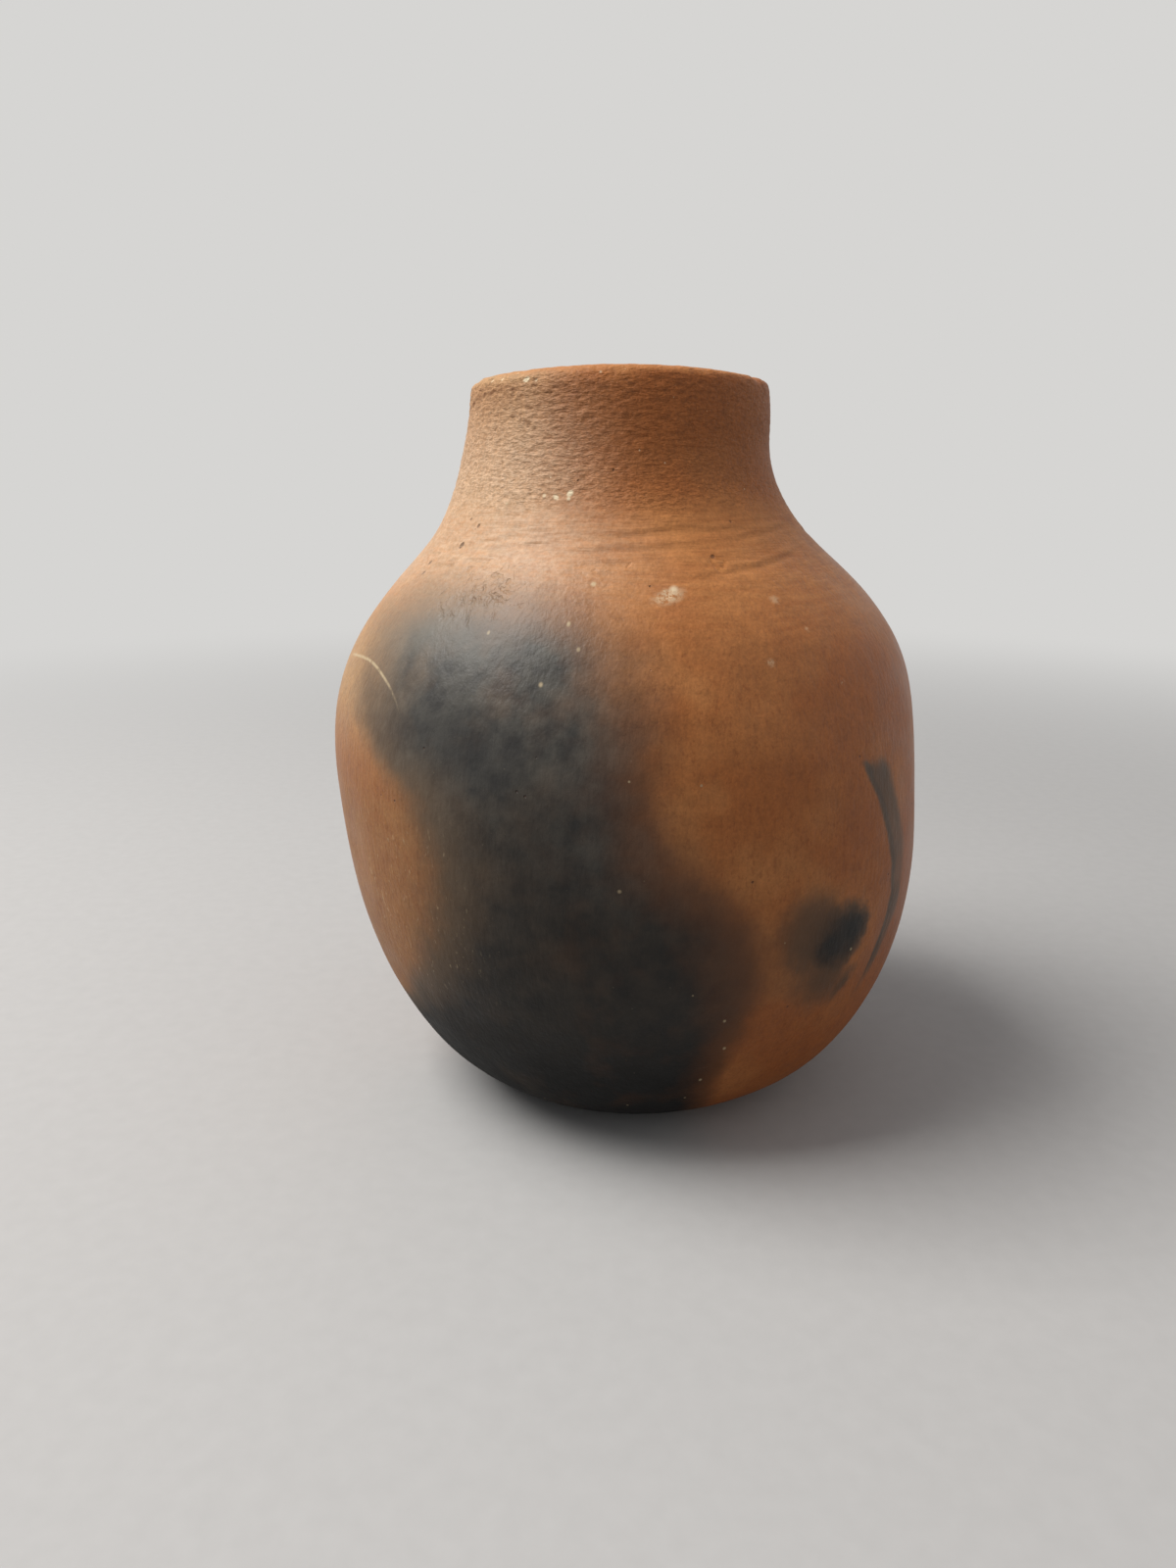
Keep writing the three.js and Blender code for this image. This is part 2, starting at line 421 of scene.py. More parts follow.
    def refine(self, body: bpy.types.Object) -> None:
        """Rounds the body with a subdivision surface.

        Args:
            body: The joined body.
        """
        pick_only(body)
        rounding = body.modifiers.new("rounding", "SUBSURF")
        rounding.levels = self.levels
        rounding.render_levels = self.levels
        bpy.ops.object.modifier_apply(modifier=rounding.name)

    def weigh(self, body: bpy.types.Object, name: str, weights: np.ndarray) -> None:
        """Adds a vertex group.

        Args:
            body: The body it belongs to.
            name: Its name.
            weights: Each vertex's weight.
        """
        group = body.vertex_groups.new(name=name)
        for index in np.nonzero(weights > 0.001)[0]:
            group.add([int(index)], float(weights[index]), "REPLACE")

    def work(
        self, body: bpy.types.Object, name: str, size: Sequence[float], depth: float, group: str,
        layers: int = 1,
    ) -> None:
        """Works a cloudy unevenness into the skin, drawn out by a stretched guide.

        Args:
            body: The body that is worked.
            name: The name of the pattern.
            size: The pattern's size along each axis, in millimetres.
            depth: Its depth from peak to hollow, in millimetres.
            group: The vertex group that says where it goes.
            layers: How many finer clouds lie over the first.
        """
        cloud = bpy.data.textures.new(name, "CLOUDS")
        cloud.noise_basis = "ORIGINAL_PERLIN"
        cloud.noise_scale = 1.0
        cloud.noise_depth = layers
        bpy.ops.object.empty_add(location=[part * MM for part in self.guide_place])
        guide = bpy.context.object
        guide.scale = [part * MM for part in size]
        bpy.context.view_layer.update()
        pick_only(body)
        push = body.modifiers.new(name, "DISPLACE")
        push.texture = cloud
        push.texture_coords = "OBJECT"
        push.texture_coords_object = guide
        push.strength = depth * MM
        push.mid_level = 0.5
        push.vertex_group = group
        bpy.ops.object.modifier_apply(modifier=push.name)
        bpy.data.objects.remove(guide)
        bpy.data.textures.remove(cloud)

    def shape(self, body: bpy.types.Object) -> None:
        """Gives the refined skin the unevenness and the marks of the hand.

        Args:
            body: The refined body.
        """
        skin = Skin(body.data)
        outer = skin.outside()
        neck = outer * smooth_step(*self.neck_band, skin.height)
        dragged = smooth_step(*self.drag_band, skin.height)
        dragged *= smooth_step(*self.drag_end, skin.height)
        front = np.exp(-(((skin.azimuth - self.front_azimuth) / self.front_reach) ** 2))
        front = self.front_least + (1 - self.front_least) * front
        across = (skin.azimuth - self.crumple_place[0]) / self.crumple_reach[0]
        up = (skin.height - self.crumple_place[1]) / self.crumple_reach[1]
        crumple = (1 - self.crumple_least) * np.exp(-across * across - up * up)
        off_floor = smooth_step(*self.foot_band, skin.height)
        share = self.inner_share + (1 - self.inner_share) * outer
        self.weigh(body, "all_round", share * off_floor)
        self.weigh(body, "rubbed", outer * (1 - neck) * off_floor)
        self.weigh(body, "dragged", outer * dragged * front)
        self.weigh(body, "rimmed", smooth_step(*self.rim_band, skin.height))
        self.weigh(body, "crumpled", outer * (self.crumple_least * off_floor + crumple))
        self.work(body, "unevenness", [self.uneven_size] * 3, self.uneven_depth, "all_round")
        self.work(body, "rubbing", self.rub_size, self.rub_depth, "rubbed")
        self.work(body, "dragging", self.drag_size, self.drag_depth, "dragged", layers=2)
        self.work(body, "crumpling", self.wrinkle_size, self.wrinkle_depth, "crumpled")
        self.work(body, "chipping", self.rim_size, self.rim_depth, "rimmed", layers=2)
        body.vertex_groups.clear()
        skin = Skin(body.data)
        outer = skin.outside()
        depth = np.zeros(len(outer))
        for mark in (*self.grooves, *self.dents):
            depth += mark.depths(skin)
        skin.sink(depth * outer)
        low, high = BOX
        for axis in range(3):
            skin.places[:, axis] = np.clip(skin.places[:, axis], low[axis], high[axis])
        skin.write()

    def part(
        self, body: bpy.types.Object, clays: dict[Finish, bpy.types.Material],
    ) -> dict[Course, bpy.types.Object]:
        """Parts the body into its courses and closes each one at its joints.

        Args:
            body: The shaped body.
            clays: The finish of each slot.

        Returns:
            The courses.
        """
        skin = Skin(body.data)
        lay = body.data.attributes.new("lay", "FLOAT_VECTOR", "POINT")
        lay.data.foreach_set("vector", skin.normals.ravel())
        outside = body.data.attributes.new("outside", "FLOAT", "POINT")
        outside.data.foreach_set("value", skin.outside())
        pick_only(body)
        with editing():
            bpy.ops.mesh.separate(type="MATERIAL")
        courses = {}
        for thing in list(bpy.context.selected_objects):
            index = thing.data.polygons[0].material_index
            course = Course(thing.data.materials[index].name.removesuffix("_part"))
            self.close(thing)
            thing.name = "clay_" + course.value
            thing.data.name = thing.name
            thing.data.materials.clear()
            thing.data.materials.append(clays[FINISH_OF[course]])
            thing.data.polygons.foreach_set("material_index", [0] * len(thing.data.polygons))
            courses[course] = thing
        for marker in [m for m in bpy.data.materials if m.name.endswith("_part")]:
            bpy.data.materials.remove(marker)
        return courses

    def close(self, course: bpy.types.Object) -> None:
        """Bridges the joint faces of a course and keeps the light unbroken over its edges.

        Args:
            course: A course that is open at its joints.
        """
        pick_only(course)
        with editing():
            bpy.ops.mesh.select_mode(type="EDGE")
            bpy.ops.mesh.select_all(action="DESELECT")
            bpy.ops.mesh.select_non_manifold(
                extend=False, use_multi_face=False, use_non_contiguous=False, use_verts=False,
            )
        mesh = course.data
        rim_edges = read_field(mesh.edges, "select", kind=bool)
        ends = read_field(mesh.edges, "vertices", 2, int)
        rim = np.zeros(len(mesh.vertices), bool)
        rim[ends[rim_edges].ravel()] = True
        heights = Skin(mesh).height[ends[:, 0]]
        for joint in self.joint_heights:
            here = rim_edges & (np.abs(heights - joint - self.lap_middle) < self.lap_reach)
            if not here.any():
                continue
            with editing():
                bpy.ops.mesh.select_all(action="DESELECT")
            edges = np.zeros(len(mesh.edges), bool)
            edges[: len(here)] = here
            mesh.edges.foreach_set("select", edges)
            with editing():
                bpy.ops.mesh.bridge_edge_loops()
        with editing():
            bpy.ops.mesh.select_all(action="SELECT")
            bpy.ops.mesh.normals_make_consistent(inside=False)
            bpy.ops.mesh.select_all(action="DESELECT")
        bpy.ops.object.shade_smooth()
        self.light_evenly(mesh, rim)

    def light_evenly(self, mesh: bpy.types.Mesh, rim: np.ndarray) -> None:
        """Sets the normals of the whole body on a course, and flat ones on its joint faces.

        Args:
            mesh: The closed course.
            rim: Which vertices lie on the edge of a joint.
        """
        lay = read_field(mesh.attributes["lay"].data, "vector", 3)
        corners = read_field(mesh.loops, "vertex_index", kind=int)
        totals = read_field(mesh.polygons, "loop_total", kind=int)
        flat = read_field(mesh.polygons, "normal", 3)
        owner = np.repeat(np.arange(len(totals)), totals)
        on_rim = np.bincount(owner, rim[corners]) == totals
        light = np.where(on_rim[owner][:, None], flat[owner], lay[corners])
        mesh.normals_split_custom_set(light.tolist())
        mesh.attributes.remove(mesh.attributes["lay"])


class Value:
    """A number on a shader socket that Python's operators work with."""

    def __init__(self, tree: ShaderTree, socket: bpy.types.NodeSocket) -> None:
        """Keeps the socket and the tree it is in."""
        self.tree = tree
        self.socket = socket

    def math(self, operation: str, first: Any, second: Any = 0.0) -> Value:
        """Adds a Math node.

        Args:
            operation: The node's operation.
            first: A value or number.
            second: A value or number.

        Returns:
            The node's result.
        """
        made = self.tree.node("ShaderNodeMath", {"operation": operation}, {0: first, 1: second})
        return Value(self.tree, made.outputs[0])

    def __add__(self, other: Any) -> Value:
        """Sum."""
        return self.math("ADD", self, other)

    __radd__ = __add__

    def __sub__(self, other: Any) -> Value:
        """Difference."""
        return self.math("SUBTRACT", self, other)

    def __rsub__(self, other: Any) -> Value:
        """Difference from a number."""
        return self.math("SUBTRACT", other, self)

    def __mul__(self, other: Any) -> Value:
        """Product."""
        return self.math("MULTIPLY", self, other)

    __rmul__ = __mul__

    def __truediv__(self, other: Any) -> Value:
        """Quotient."""
        return self.math("DIVIDE", self, other)

    def __or__(self, other: Value) -> Value:
        """Either mask: one where both are 1 as where one is."""
        return 1 - (1 - self) * (1 - other)

    def larger(self, other: Any) -> Value:
        """The larger of the two."""
        return self.math("MAXIMUM", self, other)

    def smaller(self, other: Any) -> Value:
        """The smaller of the two."""
        return self.math("MINIMUM", self, other)

    def size(self) -> Value:
        """The number without its sign."""
        return self.math("ABSOLUTE", self)

    def power(self, exponent: float) -> Value:
        """The number raised to a power."""
        return self.math("POWER", self, exponent)


class ShaderTree:
    """The nodes of a material or of the world, and the few calls that add to them."""

    def __init__(self, held: bpy.types.NodeTree) -> None:
        """Keeps the tree and empties it."""
        self.held = held
        self.held.nodes.clear()

    def node(
        self, kind: str, settings: dict[str, Any] | None = None,
        sockets: dict[int | str, Any] | None = None,
    ) -> bpy.types.Node:
        """Adds a node, with its settings first and then its sockets.

        Args:
            kind: The node's type.
            settings: Its settings; "points" fills a curve.
            sockets: A value, number or link for each of its inputs.

        Returns:
            The node.
        """
        made = self.held.nodes.new(kind)
        for key, setting in (settings or {}).items():
            if key == "points":
                line = made.mapping.curves[0]
                while len(line.points) < len(setting):
                    line.points.new(0.5, 0.5)
                for point, place in zip(line.points, setting):
                    point.location = place
                made.mapping.update()
            else:
                setattr(made, key, setting)
        for key, given in (sockets or {}).items():
            if isinstance(given, (Value, bpy.types.NodeSocket)):
                self.link(given, made.inputs[key])
            else:
                made.inputs[key].default_value = given
        return made

    def link(self, source: Value | bpy.types.NodeSocket, target: bpy.types.NodeSocket) -> None:
        """Links a value or an output to an input."""
        self.held.links.new(source.socket if isinstance(source, Value) else source, target)

    def shown(self) -> Value:
        """Tells the rays that show the background, by eye, gloss or glass, from those that light.

        Returns:
            1 for those that show it.
        """
        rays = self.node("ShaderNodeLightPath").outputs
        shown = Value(self, rays["Is Camera Ray"]).larger(Value(self, rays["Is Glossy Ray"]))
        return shown.larger(Value(self, rays["Is Transmission Ray"]))

    def flat(self, across: Value, up: Value) -> bpy.types.NodeSocket:
        """Flat coordinates on the skin, in millimetres round the girth and up."""
        return self.node("ShaderNodeCombineXYZ", sockets={0: across, 1: up}).outputs[0]

    def step(self, value: Value, low: float, high: float) -> Value:
        """A soft step from 0 at low to 1 at high, or the other way where high is the lower one.

        Args:
            value: What is stepped.
            low: Where the step is 0.
            high: Where it is 1.

        Returns:
            The step.
        """
        start, end = (low, high) if low < high else (high, low)
        goal = (0.0, 1.0) if low < high else (1.0, 0.0)
        made = self.node(
            "ShaderNodeMapRange", {"interpolation_type": "SMOOTHSTEP"},
            {
                "Value": value, "From Min": start, "From Max": end,
                "To Min": goal[0], "To Max": goal[1],
            },
        )
        return Value(self, made.outputs[0])

    def noise(
        self, place: Any, size: float, layers: float = 2.0, roughness: float = 0.5,
        bend: float = 0.0,
    ) -> Value:
        """Cloudy noise around 0.5.

        Args:
            place: The coordinates, in millimetres.
            size: The size of its lumps, in millimetres.
            layers: How many finer clouds lie over the first.
            roughness: How strong the finer ones are.
            bend: How far it is distorted.

        Returns:
            The noise.
        """
        made = self.node(
            "ShaderNodeTexNoise", {"noise_dimensions": "3D"},
            {
                "Vector": place, "Scale": 1 / size, "Detail": layers,
                "Roughness": roughness, "Distortion": bend,
            },
        )
        return Value(self, made.outputs[0])

    def spots(self, place: Any, size: float) -> bpy.types.Node:
        """Scattered points: the distance to the nearest, and its own random colour."""
        sockets = {"Vector": place, "Scale": 1 / size}
        return self.node("ShaderNodeTexVoronoi", {"feature": "F1"}, sockets)

    def stretch(self, place: Any, across: float, up: float) -> bpy.types.NodeSocket:
        """Coordinates that draw a pattern out round the pot or up it."""
        sockets = {0: place, 1: (1 / across, 1 / across, 1 / up)}
        return self.node("ShaderNodeVectorMath", {"operation": "MULTIPLY"}, sockets).outputs[0]

    def length(self, vector: bpy.types.NodeSocket) -> Value:
        """The length of a vector."""
        made = self.node("ShaderNodeVectorMath", {"operation": "LENGTH"}, {0: vector})
        return Value(self, made.outputs["Value"])

    def along(
        self, value: Value, points: Sequence[tuple[float, float]], low: float, high: float,
    ) -> Value:
        """A smooth line drawn through points.

        Args:
            value: Where on the line, in millimetres.
            points: The line's places and values, with places growing.
            low: The lowest value that the line may have.
            high: The highest one.

        Returns:
            The line's value there.
        """
        start, end = points[0][0], points[-1][0]
        scaled = [((x - start) / (end - start), (y - low) / (high - low)) for x, y in points]
        share = (value - start) / (end - start)
        sockets = {"Value": share.larger(0.0).smaller(1.0)}
        made = self.node("ShaderNodeFloatCurve", {"points": scaled}, sockets)
        return Value(self, made.outputs[0]) * (high - low) + low

    def mix(self, share: Any, first: Any, second: Any, blend: str = "MIX") -> bpy.types.NodeSocket:
        """Blends two colours.

        Args:
            share: How much of the second, 0 to 1.
            first: A colour.
            second: A colour.
            blend: The blend's kind.

        Returns:
            The blended colour.
        """
        settings = {"data_type": "RGBA", "blend_type": blend}
        return self.node("ShaderNodeMix", settings, {0: share, 6: first, 7: second}).outputs[2]


class MaterialTree(ShaderTree):
    """A material's nodes, with its output and its main shader."""

    def __init__(self, name: str) -> None:
        """Makes the material.

        Args:
            name: The material's name.
        """
        self.material = bpy.data.materials.new(name)
        self.material.use_nodes = True
        super().__init__(self.material.node_tree)
        self.surface = self.node("ShaderNodeBsdfPrincipled")
        sockets = {"Surface": self.surface.outputs[0]}
        self.output = self.node("ShaderNodeOutputMaterial", sockets=sockets)


@dataclass(frozen=True)
class Patch:
    """A soft-edged oval on the skin, in degrees round the pot and millimetres."""

    azimuth: float
    height: float
    half_width: float
    half_height: float
    strength: float = 1.0
    turn: float = 0.0
    core: float = 0.35

    def mask(self, tree: ShaderTree, chart: Any) -> Value:
        """Draws the oval.

        Args:
            tree: The material's nodes.
            chart: The skin's flat coordinates.

        Returns:
            Its strength at each place.
        """
        local = tree.node(
            "ShaderNodeMapping", {"vector_type": "TEXTURE"},
            {
                "Vector": chart,
                "Location": (self.azimuth * ARC, self.height, 0.0),
                "Rotation": (0.0, 0.0, math.radians(self.turn)),
                "Scale": (self.half_width, self.half_height, 1.0),
            },
        )
        return tree.step(tree.length(local.outputs[0]), 1.0, self.core) * self.strength


def draw_patches(tree: ShaderTree, patches: Sequence[Patch], chart: Any) -> Value:
    """Draws several patches, with the strongest on top.

    Args:
        tree: The material's nodes.
        patches: The patches.
        chart: The skin's flat coordinates.

    Returns:
        Their strength at each place.
    """
    shown = patches[0].mask(tree, chart)
    for patch in patches[1:]:
        shown = shown.larger(patch.mask(tree, chart))
    return shown


@dataclass(frozen=True)
class Band:
    """A soft-edged span, which rises from its start to where it is full and fades to its end."""

    start: float
    full: float
    fading: float
    end: float

    def mask(self, tree: ShaderTree, value: Value) -> Value:
        """Draws the span: 1 within it and 0 outside."""
        return tree.step(value, self.start, self.full) * tree.step(value, self.end, self.fading)


@dataclass(frozen=True)
class Ground:
    """Places on the pot as the shader reads them, and the patterns that its looks share."""

    tree: MaterialTree
    place: bpy.types.NodeSocket
    azimuth: Value
    height: Value
    chart: bpy.types.NodeSocket
    outer: Value
    neck: Value
    dragged: Value
    tone: Value
    fleck: Value
    grain: Value
    drawn: Value
    rubbed: Value
    lines: Value
    crease: Value

    @classmethod
    def read(cls, tree: MaterialTree) -> Ground:
        """Lays out the coordinates and the shared patterns.

        Args:
            tree: The material's nodes.

        Returns:
            The ground of one material.
        """
        source = tree.node("ShaderNodeTexCoord").outputs["Object"]
        sockets = {0: source, "Scale": 1 / MM}
        place = tree.node("ShaderNodeVectorMath", {"operation": "SCALE"}, sockets).outputs[0]
        axes = tree.node("ShaderNodeSeparateXYZ", sockets={0: place}).outputs
        right, back, height = (Value(tree, socket) for socket in axes)
        azimuth = right.math("ARCTAN2", right, back * -1) * (180 / math.pi)
        ragged = (tree.noise(place, 9.0) - 0.5) * 8
        outside = tree.node("ShaderNodeAttribute", {"attribute_name": "outside"}).outputs["Fac"]
        creased = tree.noise(tree.stretch(place, 1.7, 3.6), 1.0, 2.0, 0.5, 0.25)
        return cls(
            tree=tree,
            place=place,
            azimuth=azimuth,
            height=height,
            chart=tree.flat(azimuth * ARC, height),
            outer=Value(tree, outside),
            neck=tree.step(height + ragged, 112.0, 124.0),
            dragged=tree.step(height + ragged, 122.0, 130.0),
            tone=tree.noise(place, 24.0, 3.0, 0.55),
            fleck=tree.noise(place, 3.2, 3.0, 0.6),
            grain=tree.noise(place, 0.55, 2.0, 0.6),
            drawn=tree.noise(tree.stretch(place, 1.55, 0.6), 1.0, 3.0, 0.6),
            rubbed=tree.noise(tree.stretch(place, 0.9, 3.4), 1.0, 2.0, 0.5),
            lines=tree.noise(tree.stretch(place, 9.0, 0.85), 1.0, 2.0, 0.55),
            crease=(creased - 0.5).size(),
        )


@dataclass(frozen=True)
class Smoke:
    """The fire clouds: where smoke lay against the pot in the firing.

    The edges, their softness and the streak are pairs of a height in millimetres and an angle.
    The streak's width is in millimetres.
    """

    left_edge: tuple[tuple[float, float], ...] = (
        (0, -82), (8, -80), (15, -76), (23, -65), (31, -50), (39, -42), (46, -37.3),
        (53, -33.8), (60, -32.8), (68, -34.2), (76, -38.3), (82, -45.5), (88, -54),
        (94, -59), (100, -62.5), (108, -64), (120, -64),
    )
    left_softness: tuple[tuple[float, float], ...] = (
        (0, 10), (30, 17), (60, 22), (85, 25), (100, 30), (120, 36),
    )
    right_edge: tuple[tuple[float, float], ...] = (
        (0, 24), (8, 18.8), (15, 15.8), (23, 17.5), (31, 19.2), (39, 20), (46, 18.9),
        (52, 16.2), (58, 11.8), (65, 7), (72, 3), (80, -0.3), (90, 0), (98, -1),
        (108, -7.5), (120, -16),
    )
    right_softness: tuple[tuple[float, float], ...] = (
        (0, 10), (25, 12), (45, 17), (65, 20), (85, 17), (92, 19), (105, 27), (120, 34),
    )
    edge_reach: float = 0.75
    streak: tuple[tuple[float, float], ...] = (
        (28, 45), (35, 50.8), (40, 53.6), (46, 55.8), (53, 56.9), (60, 56.3), (67, 54.0),
        (75, 50.2), (82, 45.8),
    )
    streak_width: tuple[tuple[float, float], ...] = (
        (28, 1.1), (38, 1.8), (50, 2.6), (62, 3.4), (74, 3.7), (82, 4.0),
    )
    streak_rise: Band = Band(28.0, 42.0, 78.0, 82.5)
    patches: tuple[Patch, ...] = (
        Patch(35.0, 46.5, 14.5, 15.0, 0.34, 0, 0.15),
        Patch(30.8, 52.0, 10.8, 11.0, 0.33, 0, 0.35),
        Patch(37.3, 38.0, 12.0, 8.6, 0.3, -12, 0.1),
        Patch(40.4, 48.0, 8.6, 8.6, 0.82, 0, 0.35),
        Patch(36.6, 46.0, 5.6, 4.6, 0.75, 20, 0.3),
        Patch(42.6, 49.2, 5.4, 5.2, 0.8, 0, 0.3),
        Patch(43.2, 37.6, 6.6, 2.4, 0.32, 46, 0.0),
        Patch(45.4, 78.9, 3.6, 1.7, 0.45, -28, 0.1),
        Patch(152.0, 46.0, 26.0, 15.0, 0.5, 16, 0.0),
        Patch(166.0, 58.0, 12.0, 7.0, 0.35, -20, 0.0),
    )

    def cloud(self, ground: Ground) -> Value:
        """Draws the great cloud on the front between its two edges.

        Args:
            ground: Places and patterns.

        Returns:
            How thick the smoke lay, 0 to 1.
        """
        tree, place, azimuth, height = ground.tree, ground.place, ground.azimuth, ground.height
        billow = (tree.noise(place, 17.0, 1.5) - 0.5) * 9
        wisp = (tree.noise(place, 4.5, 2.0, 0.6) - 0.5) * 4
        wander = billow + wisp
        left = tree.along(height, self.left_edge, -90, 30)
        right = tree.along(height, self.right_edge, -90, 30)
        past_left = (azimuth - left + wander) / tree.along(height, self.left_softness, 0, 40)
        past_right = (right - azimuth + wander) / tree.along(height, self.right_softness, 0, 40)
        from_left = tree.step(past_left, -self.edge_reach, self.edge_reach)
        from_right = tree.step(past_right, -self.edge_reach, self.edge_reach)
        below_neck = tree.step(height + wander * 0.5, 119.0, 101.0)
        return from_left * from_right * below_neck

    def stroke(self, ground: Ground, waver: Value) -> Value:
        """Draws the curved streak at the right, where a stick of fuel leaned on the wall.

        Args:
            ground: Places and patterns.
            waver: How far it wavers, in degrees.

        Returns:
            How thick the smoke lay, 0 to 1.
        """
        tree, azimuth, height = ground.tree, ground.azimuth + waver, ground.height
        patchy = 0.82 + (tree.noise(ground.place, 7.0, 2.0) - 0.5) * 0.9
        off = (azimuth - tree.along(height, self.streak, 40, 60)) * ARC
        width = tree.along(height, self.streak_width, 0, 5)
        body = tree.step(off / width, 1.7, 0.5) * tree.step(off / width, -1.25, -0.6) * 0.54
        edge = tree.step((off + width * 0.65).size(), 1.4, 0.2) * 0.24
        return (body + edge) * self.streak_rise.mask(tree, height) * patchy

    def density(self, ground: Ground) -> Value:
        """Adds all the clouds up.

        Args:
            ground: Places and patterns.

        Returns:
            How thick the smoke lay, 0 to 1.
        """
        tree = ground.tree
        waver = (tree.noise(ground.place, 5.0, 3.0, 0.65) - 0.5) * 5
        sway = (tree.noise(ground.place, 3.1, 2.0, 0.6) - 0.5) * 3.5
        chart = tree.flat(ground.azimuth * ARC + waver, ground.height + sway)
        thick = self.cloud(ground) | self.stroke(ground, waver * 0.35)
        for patch in self.patches:
            thick = thick | patch.mask(tree, chart)
        return thick


@dataclass(frozen=True)
class Speck:
    """A grit or crumb of lime in the skin, in degrees round the pot and millimetres."""

    azimuth: float
    height: float
    radius: float
    pale: float = 1.0

    def mask(self, ground: Ground) -> Value:
        """Draws the speck.

        Args:
            ground: Places and patterns.

        Returns:
            Its strength at each place.
        """
        across = (ground.azimuth - self.azimuth) * (ARC if self.height < NECK_FOOT else NECK_ARC)
        up = ground.height - self.height
        away = (across * across + up * up).power(0.5)
        return ground.tree.step(away, self.radius, self.radius * 0.2) * self.pale


@dataclass(frozen=True)
class Sprinkle:
    """Small round marks, strewn over the whole skin.

    Places for them lie `apart` millimetres from each other. A mark's size is a share of that,
    and `empty` is the share of the places without one. Each place has three random numbers,
    and `number` says which of them chooses.
    """

    apart: float
    size: float
    number: int
    empty: float

    def mask(self, ground: Ground) -> Value:
        """Draws the marks.

        Args:
            ground: Places and patterns.

        Returns:
            1 on a mark and 0 off it.
        """
        tree = ground.tree
        points = tree.spots(ground.place, self.apart)
        numbers = tree.node("ShaderNodeSeparateColor", sockets={0: points.outputs["Color"]}).outputs
        chosen = tree.step(Value(tree, numbers[self.number]), self.empty, self.empty + 0.05)
        distance = Value(tree, points.outputs["Distance"])
        return tree.step(distance, self.size, self.size * 0.5) * chosen


@dataclass(frozen=True)
class Scratches:
    """The pale curved scratch at the left, and the scuff and the nicks below it."""

    line: tuple[tuple[float, float], ...] = (
        (-80, 95.2), (-70, 96.5), (-60, 96.6), (-52, 94.5), (-47.9, 92.3), (-45.5, 90.1),
        (-44, 87.6),
    )
    line_span: Band = Band(-78.0, -72.0, -54.0, -43.8)
    scuff_azimuth: float = -53.0
    scuff_height: float = 51.0
    scuff_slope: float = 1.5
    scuff_rise: Band = Band(45.0, 48.0, 55.0, 64.0)
    nicked_side: Band = Band(-130.0, -100.0, -45.0, -20.0)
    nicked_rise: Band = Band(30.0, 42.0, 62.0, 76.0)

    def mask(self, ground: Ground) -> Value:
        """Draws them all.

        Args:
            ground: Places and patterns.

        Returns:
            Their strength at each place.
        """
        tree, place, azimuth, height = ground.tree, ground.place, ground.azimuth, ground.height
        arch = tree.along(azimuth, self.line, 85, 100)
        thin = tree.step((height - arch).size(), 0.42, 0.05)
        broken = tree.step(tree.noise(place, 1.2, 2.0), 0.3, 0.5)
        main = thin * self.line_span.mask(tree, azimuth) * (0.2 + 0.5 * broken)
        slant = (azimuth - self.scuff_azimuth) * self.scuff_slope + (height - self.scuff_height)
        scuff = tree.step(slant.size(), 0.5, 0.1) * self.scuff_rise.mask(tree, height)
        scuff = scuff * tree.step(tree.noise(place, 2.0, 2.0), 0.5, 0.6) * 0.4
        nicked = self.nicked_side.mask(tree, azimuth) * self.nicked_rise.mask(tree, height)
        nicks = tree.noise(tree.stretch(place, 0.75, 2.2), 1.0, 2.0, 0.55)
        return main | scuff | (tree.step(nicks, 0.64, 0.76) * nicked * 0.45)


@dataclass(frozen=True)
class Chalk:
    """The rubs of chalk on the shoulder."""

    rub: Patch = Patch(7.2, 110.9, 5.4, 1.7, 0.62, 9, 0.05)
    crest: Patch = Patch(8.5, 112.0, 1.5, 0.8, 0.65, 10, 0.1)
    smudges: tuple[Patch, ...] = (
        Patch(32.0, 109.7, 2.0, 1.0, 0.25, 0, 0.2),
        Patch(25.2, 99.9, 1.4, 1.0, 0.3, 0, 0.1),
        Patch(40.8, 95.4, 1.0, 0.7, 0.3, 0, 0.1),
        Patch(36.5, 104.6, 0.9, 0.7, 0.25, 0, 0.1),
    )

    def mask(self, ground: Ground) -> Value:
        """Draws them all.

        Args:
            ground: Places and patterns.

        Returns:
            Their strength at each place.
        """
        tree, chart = ground.tree, ground.chart
        broken = tree.step(tree.noise(ground.place, 0.9, 3.0, 0.7), 0.36, 0.6)
        faint = draw_patches(tree, self.smudges, chart)
        return (self.rub.mask(tree, chart) | faint) * broken | self.crest.mask(tree, chart)


